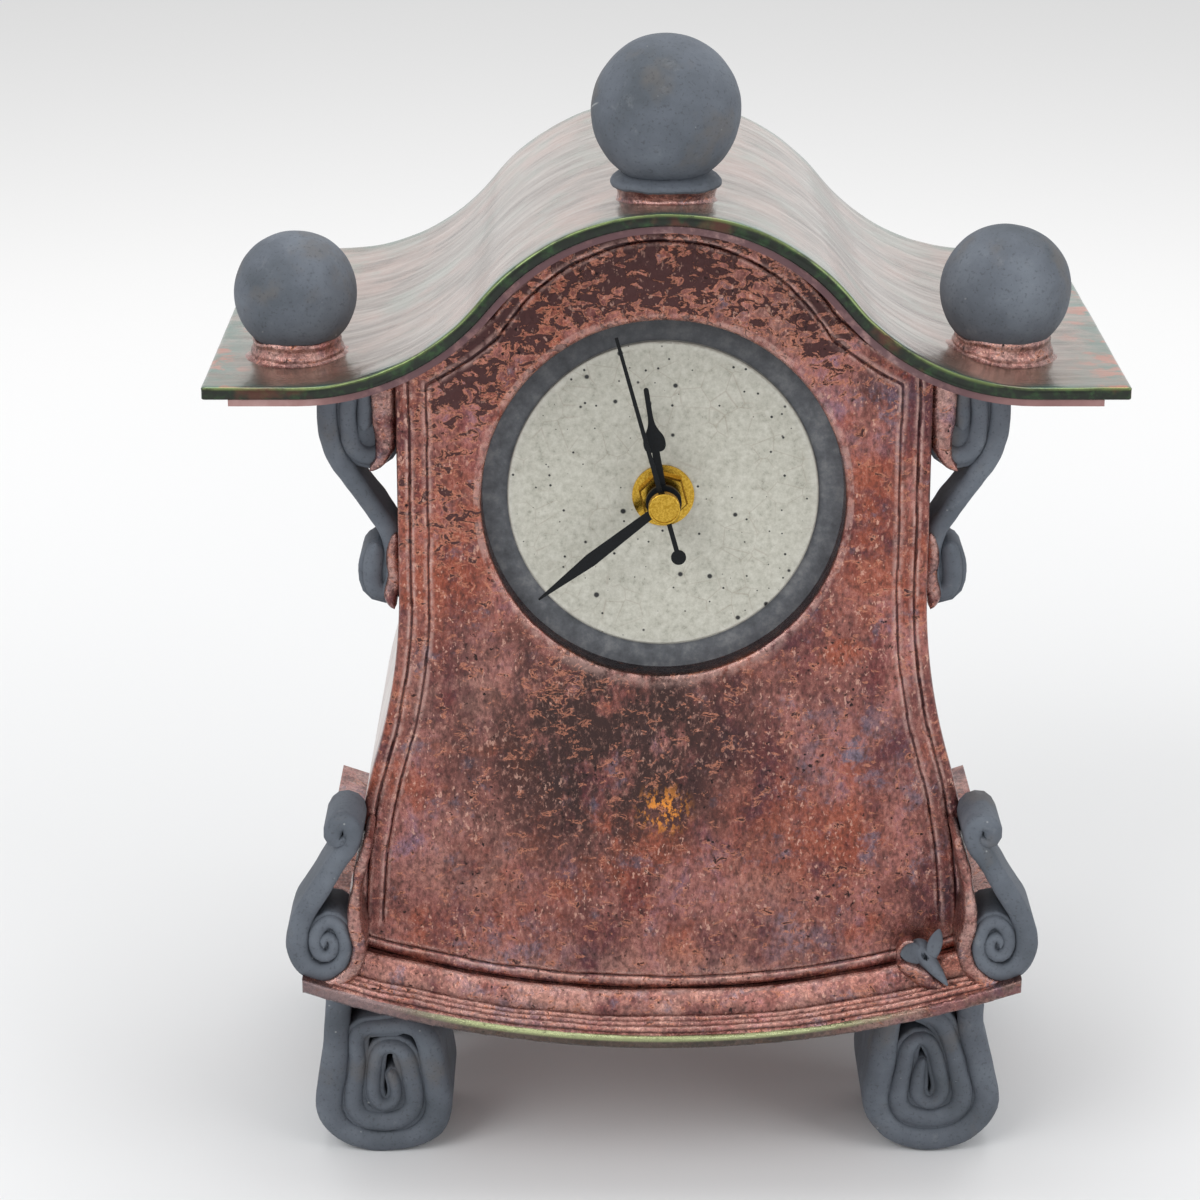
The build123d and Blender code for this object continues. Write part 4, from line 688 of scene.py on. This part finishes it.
footLook = {
    "front": -57.0, "depth": 40.0, "edge": 3.2,
    "left": [
        (-13.0, 71.0, 8.0), (-13.4, 49.6, 8.0), (-14.0, 37.9, 8.2), (-15.8, 27.4, 8.6), (-17.1, 19.2, 8.6),
        (-16.6, 12.5, 8.4), (-12.6, 6.6, 8.0), (-6.0, 4.0, 7.8), (1.6, 3.9, 7.6), (9.2, 4.9, 7.8),
        (15.1, 9.0, 8.4), (17.3, 15.5, 8.5), (16.5, 23.0, 8.4), (15.2, 32.0, 8.4), (14.4, 38.0, 8.0),
        (12.2, 42.8, 7.0), (8.0, 44.6, 6.0), (0.0, 43.8, 5.2), (-5.2, 43.0, 5.2), (-7.6, 39.8, 5.4),
        (-8.0, 32.0, 5.5), (-9.3, 22.8, 6.0), (-9.1, 15.8, 6.4), (-6.0, 11.7, 6.8), (-0.6, 10.8, 7.0),
        (4.9, 11.6, 6.8), (8.8, 14.6, 6.6), (9.7, 19.2, 6.4), (8.6, 26.2, 6.2), (7.6, 32.0, 6.0),
        (6.0, 36.2, 5.4), (2.7, 37.4, 4.6), (-0.6, 36.2, 4.6), (-2.3, 32.6, 4.8), (-3.1, 26.2, 4.9),
        (-3.0, 21.0, 4.8), (-1.0, 17.3, 4.6), (2.2, 17.2, 4.2), (3.9, 19.8, 3.9), (3.6, 24.4, 3.8),
        (2.0, 29.4, 3.6)],
    "right": [
        (10.8, 71.0, 8.0), (11.2, 46.6, 8.0), (12.8, 37.9, 8.4), (15.6, 27.4, 8.2), (17.3, 20.4, 8.0),
        (16.5, 14.6, 8.2), (12.5, 8.5, 8.0), (6.0, 4.7, 7.8), (-2.2, 3.9, 7.6), (-10.3, 6.4, 8.0),
        (-15.9, 12.8, 8.4), (-17.3, 20.4, 8.8), (-16.3, 27.4, 8.8), (-15.6, 33.2, 8.6), (-15.0, 40.8, 8.0),
        (-13.0, 48.0, 7.0), (-8.0, 51.0, 6.0), (-2.0, 48.8, 6.0), (2.6, 44.6, 6.2), (5.4, 37.9, 6.3),
        (7.6, 29.2, 6.4), (9.8, 21.0, 6.8), (8.2, 15.2, 7.0), (3.8, 12.3, 7.2), (-1.6, 11.8, 7.2),
        (-7.4, 13.8, 7.0), (-10.0, 18.0, 6.0), (-9.8, 23.9, 5.6), (-9.0, 30.9, 5.6), (-8.2, 36.7, 5.4),
        (-5.4, 40.2, 5.0), (-2.2, 39.4, 4.8), (0.0, 35.6, 4.8), (1.7, 29.2, 5.0), (3.3, 22.7, 5.2),
        (1.6, 18.7, 5.0), (-1.6, 17.8, 4.6), (-4.5, 20.4, 4.8), (-4.8, 25.0, 4.6), (-4.1, 30.3, 3.6),
        (-3.4, 33.4, 2.6)],
    "at": {"left": -86.3, "right": 85.2}}
for row, flip in (("front", 1), ("rear", -1)):
    for name in ("left", "right"):
        bm = rollStrap(footLook[name], footLook, 1.7)
        packed(bm, footLook[name][16:], footLook)
        for vert in bm.verts:
            vert.co.x += footLook["at"][name] * mm
            vert.co += lumpy(vert.co, 15, 0.7) + lumpy(vert.co, 4, 0.15)
            vert.co.z = max(vert.co.z, 0)
            vert.co.y *= flip
        makePiece("foot_" + row + "_" + name + "_clay", bm, clay, ["foot_" + row + "_" + name], 60)
print("feet rolled")

webLook = {  # runnels of glaze that fill the corners between clay and slab
    "upperWeb": {"front": -48.4, "depth": 14.0, "edge": 2.2, "path": [
        (80.4, 253.0, 6.8), (80.9, 246.0, 7.4), (80.6, 238.0, 7.0), (80.8, 231.5, 6.0), (82.4, 226.8, 3.8),
        (85.4, 224.2, 1.8)]},
    "hookWeb": {"front": -48.2, "depth": 14.0, "edge": 1.9, "path": [
        (78.4, 204.0, 2.2), (79.4, 197.0, 4.0), (79.2, 190.0, 4.6), (80.2, 184.4, 4.2), (79.4, 180.6, 2.4)]},
    "lowerWeb": {"front": -79.4, "depth": 18.0, "edge": 1.9, "path": [
        (86.4, 120.4, 2.4), (88.6, 112.6, 3.4), (90.2, 104.0, 3.2), (91.6, 97.4, 4.0), (91.4, 90.0, 4.4),
        (90.6, 82.0, 4.4), (92.2, 76.0, 4.6), (96.4, 71.6, 4.2), (102.0, 70.8, 3.4), (106.0, 72.4, 2.0)]},
}
for side, name in ((-1, "left"), (1, "right")):
    for kind, look in webLook.items():
        makePiece(kind + "_" + name, pressed(rollStrap(look["path"], look, 1.0), 0.9, side), copper,
                  (), 60)
print("glaze webs run")

slabLook = {"dial": 216.0, "face": -53.0, "lean": 5.0, "thick": 9.0, "opening": 53.0, "lip": 1.8, "waist": 77.5,
            "hem": 93.0,
            "flareTop": 190.0, "flareBottom": 85.0, "hemRadius": 181.69, "under": 5.5, "baseCentre": 365.5,
            "baseRadius": 302.0,
            "samples": (150, 150, 130), "edge": 1.6, "grooves": [(3.8, 0.55, 0.55), (9.0, 0.45, 0.4)],
            "crust": 0.22, "border": 12.0, "faceRings": 27}


def slabHalf(z):  # half width of the body at a height, and the slope of its side
    look = slabLook
    if z >= look["flareTop"]:
        return look["waist"], 0.0
    if z > (look["flareTop"] + look["flareBottom"]) / 2:
        rise = look["flareTop"] - z
        return look["waist"] + look["hemRadius"] - sqrt(look["hemRadius"] ** 2 - rise ** 2), rise / look["hemRadius"]
    rise = max(0.0, z - look["flareBottom"])
    return look["hem"] - look["hemRadius"] + sqrt(look["hemRadius"] ** 2 - rise ** 2), rise / look["hemRadius"]


def slabDepths(x, z):  # how far a point lies in from the slab's side, top and bottom edge
    look = slabLook
    half, slope = slabHalf(z)
    aside = (half - abs(x)) * sqrt(1 - slope ** 2)
    crown, flare = crownRadius - look["under"], flareRadius + look["under"]
    lean = abs(x) / crown if abs(x) < crown * sin(ogeeTurn) else (roofShape["bell"] - abs(x)) / flare
    above = (ogeeHeight(x, look["under"]) - z) * sqrt(max(0.05, 1 - lean ** 2))
    below = look["baseRadius"] - sqrt(x ** 2 + (z - look["baseCentre"]) ** 2)
    return aside, above, below


def slabReach(turn, inset):  # run from the dial's middle to a line at that inset from the slab's edge
    low, high = 40.0, 190.0
    for _ in range(34):
        middle = (low + high) / 2
        if min(slabDepths(middle * cos(turn), slabLook["dial"] + middle * sin(turn))) > inset:
            low = middle
        else:
            high = middle
    return low


def slabPlace(x, z, depth):  # point at that depth behind the leaning face, straight back from the front
    look = slabLook
    lean = radians(look["lean"])
    return Vector((x, look["face"] + (z - look["dial"]) * tan(lean) + depth / cos(lean), z)) * mm


look = slabLook
lean = radians(look["lean"])
sideTop = ogeeHeight(look["waist"], look["under"])
sideFoot = look["baseCentre"] - sqrt(look["baseRadius"] ** 2 - look["hem"] ** 2)
turns = []
for i in range(look["samples"][0]):
    x = look["waist"] * (1 - 2 * i / look["samples"][0])
    turns.append(atan2(ogeeHeight(x, look["under"]) - look["dial"], x))
for i in range(look["samples"][1]):
    z = sideTop + (sideFoot - sideTop) * i / look["samples"][1]
    turns.append(atan2(z - look["dial"], -slabHalf(z)[0]))
for i in range(look["samples"][2]):
    x = look["hem"] * (2 * i / look["samples"][2] - 1)
    turns.append(atan2(look["baseCentre"] - sqrt(look["baseRadius"] ** 2 - x ** 2) - look["dial"], x))
for i in range(look["samples"][1]):
    z = sideFoot + (sideTop - sideFoot) * i / look["samples"][1]
    turns.append(atan2(z - look["dial"], slabHalf(z)[0]))


def openingRing(radius, depth):  # ring about the dial's axis, square to the leaning slab
    out, up = Vector((0, -cos(lean), sin(lean))), Vector((0, sin(lean), cos(lean)))
    middle = Vector((0, look["face"], look["dial"]))
    return [(middle - out * depth + (Vector((1, 0, 0)) * cos(turn) + up * sin(turn)) * radius) * mm
            for turn in turns]


edgeReach = {inset: [slabReach(turn, inset) for turn in turns] for inset in (look["border"], 0.0)}
lineSteps = [11.0, 10.2, 9.6, 9.3, 9.0, 8.7, 8.4, 7.7, 6.9, 6.0, 5.1, 4.5, 4.15, 3.8, 3.45, 3.1, 2.6, 2.1, 1.6,
             1.15, 0.75, 0.4, 0.15, 0.0]
rings = [openingRing(look["opening"], look["thick"] * share) for share in (1.0, 0.8, 0.6, 0.4)]
for step in range(1, 7):
    angle = step / 6 * pi / 2
    rings.append(openingRing(look["opening"] + look["lip"] * (1 - cos(angle)), look["lip"] * (1 - sin(angle))))
for step in range(1, look["faceRings"]):
    share = step / look["faceRings"]
    rings.append([slabPlace((look["opening"] + look["lip"]) * cos(turn) * (1 - share) + far * cos(turn) * share,
                            look["dial"] + (look["opening"] + look["lip"]) * sin(turn) * (1 - share)
                            + far * sin(turn) * share, 0)
                  for turn, far in zip(turns, edgeReach[look["border"]])])
for inset in lineSteps:
    ring = []
    for turn in turns:
        far = slabReach(turn, inset)
        x, z = far * cos(turn), look["dial"] + far * sin(turn)
        depths = slabDepths(x, z)
        wobble = 0.35 * noise.noise(Vector((x, z, 3)) / 11)
        deep = sum(cut * max(0.0, 1 - ((inset - at - wobble) / half) ** 2) for at, half, cut in look["grooves"]
                   if abs(inset - at - wobble) < half and not (at > 5 and depths[2] < inset + 0.5))
        if inset < look["edge"]:
            deep = look["edge"] - sqrt(max(0.0, look["edge"] ** 2 - (look["edge"] - inset) ** 2))
        ring.append(slabPlace(x, z, deep))
    rings.append(ring)
for share in (0.4, 0.7, 1.0):
    rings.append([slabPlace(far * cos(turn), look["dial"] + far * sin(turn), look["thick"] * share)
                  for turn, far in zip(turns, edgeReach[0.0])])
outerBack = rings[-1]
for share in (0.75, 0.5, 0.25):
    rings.append([inner.lerp(outer, share) for inner, outer in zip(rings[0], outerBack)])
bm = bmesh.new()
bmesh.ops.create_circle(bm, segments=len(turns), radius=look["opening"] * mm)
order = {vert: i for i, vert in enumerate(bm.verts)}
for vert, i in order.items():
    vert.co = rings[0][i]
edges = bm.edges[:]
for ring in rings[1:] + [rings[0]]:  # each ring grows from the last, from the opening out, round the edge and back
    grown = bmesh.ops.extrude_edge_only(bm, edges=edges)["geom"]
    fresh = [g for g in grown if isinstance(g, bmesh.types.BMVert)]
    order = {vert: order[edge.other_vert(vert)] for vert in fresh for edge in vert.link_edges
             if edge.other_vert(vert) in order}
    for vert, i in order.items():
        vert.co = ring[i]
    edges = [g for g in grown if isinstance(g, bmesh.types.BMEdge) and len(g.link_faces) == 1]
bmesh.ops.remove_doubles(bm, verts=bm.verts, dist=weldMm * mm)
bmesh.ops.recalc_face_normals(bm, faces=bm.faces)
bm.normal_update()
score = bm.verts.layers.float.new("score")  # 1 on a glaze ridge, 0 in a scored line, a half elsewhere: the front's painted highlights and painted shade follow it
for vert in bm.verts:
    vert[score] = 0.5
    run = sqrt(vert.co.x ** 2 + (vert.co.z - look["dial"] * mm) ** 2) / mm
    if vert.normal.y > -0.5:
        # the opening's wall is marked low, for painted shade there
        if run < look["opening"] + 1:
            vert[score] = 0.1
        continue
    depths = slabDepths(vert.co.x / mm, vert.co.z / mm)
    inset = min(depths)
    wobble = 0.35 * noise.noise(Vector((vert.co.x / mm, vert.co.z / mm, 3)) / 11)
    for at, half, cut in look["grooves"]:
        off = abs(inset - at - wobble)
        if not (at > 5 and depths[2] < inset + 0.5) and off < 1.6:
            vert[score] = 0.0 if off < half * 0.7 else max(vert[score], 1 - 0.5 * abs(off - 0.8) / 0.8)
    # the lip round the opening is marked high, for a painted highlight
    if run < look["opening"] + look["lip"] + 0.6:
        vert[score] = 0.8
for vert in bm.verts:
    if vert.normal.y < -0.5:
        vert.co.y += look["crust"] * (noise.noise(vert.co / (9 * mm))
                                      + 0.5 * noise.noise(vert.co / (2.6 * mm))) * mm
makePiece("frontSheet", bm, copperFront, ["front_slab"], 60)
print("front slab cut and scored")

mouldLook = {
    "centre": 365.5, "reach": 97.0, "back": 67.5,
    # the third number of each point marks a painted highlight on the ridges (1) and painted shade in the grooves (0)
    "front": [
        (-62.0, 302.0, 0.5), (-66.0, 302.0, 0.2), (-66.6, 302.2, 0.0), (-67.2, 301.8, 0.5),
        (-67.9, 301.35, 0.95), (-68.7, 301.3, 1.0), (-69.4, 301.8, 0.7), (-70.4, 303.0, 0.5),
        (-71.4, 304.6, 0.45), (-72.2, 306.2, 0.4), (-72.6, 307.2, 0.3), (-73.0, 308.5, 0.0),
        (-73.3, 308.1, 0.2), (-73.7, 307.3, 1.0), (-74.2, 307.1, 1.0), (-74.7, 307.5, 0.6), (-75.1, 308.8, 0.0),
        (-75.5, 308.5, 0.1), (-75.9, 307.7, 1.0), (-76.4, 307.6, 1.0), (-76.9, 308.0, 0.5), (-77.3, 309.2, 0.0),
        (-77.7, 308.9, 0.1), (-78.1, 308.2, 1.0), (-78.7, 308.2, 1.0), (-79.2, 308.6, 0.6), (-79.6, 309.6, 0.0),
        (-80.2, 309.5, 0.4), (-80.9, 310.2, 0.5)]}
look = mouldLook
ring = look["front"] + [(-80.0, 310.4, 0.5), (-30.0, 310.4, 0.5), (look["back"], 310.4, 0.5),
                        (look["back"], 302.6, 0.5),
                        (look["back"] - 0.6, 302.0, 0.5), (-20.0, 302.0, 0.5)]
bm = bmesh.new()
score = bm.verts.layers.float.new("score")
halfTurn = atan2(look["reach"], sqrt(306.0 ** 2 - look["reach"] ** 2))
verts = []
for y, radius, value in ring:
    vert = bm.verts.new((-radius * sin(halfTurn) * mm, y * mm, (look["centre"] - radius * cos(halfTurn)) * mm))
    vert[score] = value
    verts.append(vert)
end = [bm.edges.new(pair) for pair in zip(verts, verts[1:] + verts[:1])]
grown = bmesh.ops.spin(bm, geom=verts + end, axis=(0, -1, 0), cent=(0, 0, look["centre"] * mm), angle=2 * halfTurn,
                       steps=140)["geom_last"]
bmesh.ops.edgeloop_fill(bm, edges=end)
bmesh.ops.edgeloop_fill(bm, edges=[g for g in grown if isinstance(g, bmesh.types.BMEdge)])
for vert in bm.verts:
    if vert.co.y < -0.064:
        vert.co += lumpy(vert.co, 19, 0.5) + lumpy(vert.co, 4, 0.14)
makePiece("baseMoulding", bm, copperFront, ["base_step"], 70)
print("base moulded")

mouseLook = {
    "back": (78.0, -69.5, 78.6), "tip": (85.6, -79.4, 71.6), "girth": 3.5, "toward": (-0.10, -0.86, 0.50),
    "eyeShare": 0.26, "eyeRadius": 0.85, "eyeDepth": 3.2, "taper": 0.55,
    "ears": [{"at": (75.4, -73.0, 79.4), "size": (4.4, 1.2, 3.2), "turn": (-0.35, 0.55, 0.12), "cup": 0.8},
             {"at": (82.2, -72.6, 81.8), "size": (2.2, 1.0, 5.2), "turn": (-0.2, 0.24, -0.1), "cup": 0.4}],
    "web": {"front": -76.8, "depth": 9.0, "edge": 1.6, "path": [
        (71.0, 77.4, 1.6), (73.4, 75.4, 4.0), (77.0, 73.2, 5.2), (81.0, 70.4, 4.4), (84.6, 68.4, 2.2)]},
    "rim": {"front": -74.4, "depth": 4.6, "edge": 0.6, "path": [
        (72.6, 76.4, 1.0), (71.3, 78.8, 1.3), (71.7, 81.4, 1.4), (73.6, 83.2, 1.3), (75.8, 83.6, 0.8)]},
}
look = mouseLook
back, tip = Vector(look["back"]), Vector(look["tip"])
ahead = (tip - back).normalized()
length = (tip - back).length
bm = bmesh.new()
bmesh.ops.create_icosphere(bm, subdivisions=5, radius=1.0)
for vert in bm.verts:  # the ball is drawn out along its look into a snout
    along = vert.co.dot(ahead)
    aside = vert.co - ahead * along
    share = max(0.0, along)
    vert.co = back + ahead * (along * (length if along > 0
                                       else look["girth"])) + aside * look["girth"] * (1 - look["taper"] * share)
toward = Vector(look["toward"])
toward = (toward - ahead * toward.dot(ahead)).normalized()
eye = back + ahead * length * look["eyeShare"] + toward * look["girth"] * 0.85
for vert in bm.verts:  # the eye is poked in with a stick
    near = (vert.co - eye - toward * (vert.co - eye).dot(toward)).length
    if near < look["eyeRadius"] and (vert.co - eye).dot(toward) > -1:
        vert.co -= toward * look["eyeDepth"] * (1 - (near / look["eyeRadius"]) ** 4)
for ear in look["ears"]:
    leaf = bmesh.ops.create_icosphere(bm, subdivisions=4, radius=1.0)["verts"]
    for vert in leaf:
        hollow = ear["cup"] * (1 - vert.co.x ** 2 - vert.co.z ** 2) if vert.co.y < 0 else 0
        pinch = 1 - 0.35 * max(0.0, vert.co.z) ** 2 if ear["size"][0] < ear["size"][2] else 1
        vert.co = Vector((vert.co.x * ear["size"][0] * pinch, vert.co.y * ear["size"][1] + hollow * 1.2,
                          vert.co.z * ear["size"][2]))
    for axis, turn in zip("XYZ", ear["turn"]):
        bmesh.ops.rotate(bm, verts=leaf, cent=(0, 0, 0), matrix=Matrix.Rotation(turn, 3, axis))
    bmesh.ops.translate(bm, verts=leaf, vec=Vector(ear["at"]))
bmesh.ops.scale(bm, verts=bm.verts[:], vec=(mm, mm, mm))
makePiece("mouseHead", pressed(bm, 0.25), clay, ["mouse_ornament"], 60)
for kind in ("web", "rim"):
    makePiece("mouse_" + kind, pressed(rollStrap(look[kind]["path"], look[kind], 0.7), 0.5), copper,
              (), 60)
print("mouse pinched")

studio = {
    "eye": (-18.5, -876.75, 501.5), "pitch": 21, "lens": 90, "skyLight": 0.62, "sweepMm": (150, 1100),
    "lamps": [
        {"name": "softKey", "at": (-0.95, -1.05, 1.35), "size": 1.0, "watts": 13},
        {"name": "softFill", "at": (1.15, -0.75, 0.95), "size": 0.9, "watts": 6},
        {"name": "softTop", "at": (0.05, 0.25, 1.6), "size": 1.1, "watts": 9},
    ],
}
camera = bpy.data.objects.new("photoCamera", bpy.data.cameras.new("photoCamera"))
camera.data.lens = studio["lens"]
camera.data.sensor_width = 36
camera.location = Vector(studio["eye"]) * mm
camera.rotation_euler = (radians(90 - studio["pitch"]), 0, 0)
bpy.context.collection.objects.link(camera)
bpy.context.scene.camera = camera
for lamp in studio["lamps"]:
    light = bpy.data.lights.new(lamp["name"], "AREA")
    light.size = lamp["size"]
    light.energy = lamp["watts"]
    holder = bpy.data.objects.new(lamp["name"], light)
    holder.location = lamp["at"]
    holder.rotation_euler = (Vector((0, 0, 0.18)) - holder.location).to_track_quat("-Z", "Y").to_euler()
    bpy.context.collection.objects.link(holder)

sky = bpy.data.worlds.new("softStudio")
sky.use_nodes = True
bpy.context.scene.world = sky
skyTree = sky.node_tree
rays = addNode(skyTree, "LightPath")
seen = combine(skyTree, rays.outputs["Is Camera Ray"], rays.outputs["Is Glossy Ray"], "MAXIMUM")
seen = combine(skyTree, seen, rays.outputs["Is Transmission Ray"], "MAXIMUM")
strength = fadeMask(skyTree, seen, 0.0, 1.0, 1.0, studio["skyLight"], soft=False)
feed(skyTree, skyTree.nodes["Background"], {"Strength": strength, "Color": (1, 1, 1, 1)})

floorMesh = bmesh.new()
bmesh.ops.create_grid(floorMesh, x_segments=1, y_segments=1, size=4.0)
floorData = bpy.data.meshes.new("paleFloor")
floorMesh.to_mesh(floorData)
floorMesh.free()
floor = bpy.data.objects.new("paleFloor", floorData)
bpy.context.collection.objects.link(floor)
paper, paperTree, paperSurface, paperPlace = newFinish("palePaper")  # matt white paper, greyer near the clock as a painted shade about it and whiter far off as painted light on the backdrop
away = addNode(paperTree, "VectorMath", {"operation": "LENGTH"}, {0: paperPlace}).outputs["Value"]
away = fadeMask(paperTree, away, studio["sweepMm"][0] * mm, studio["sweepMm"][1] * mm)
sweep = addNode(paperTree, "Mix", {"data_type": "RGBA"},
                {0: away, 6: tint("#e6e7e8"), 7: tint("#ffffff")}).outputs[2]
feed(paperTree, paperSurface, {"Base Color": sweep, "Roughness": 0.95, "Specular IOR Level": 0.0})
floor.data.materials.append(paper)
bpy.context.scene.view_settings.view_transform = "Standard"
print("studio set")
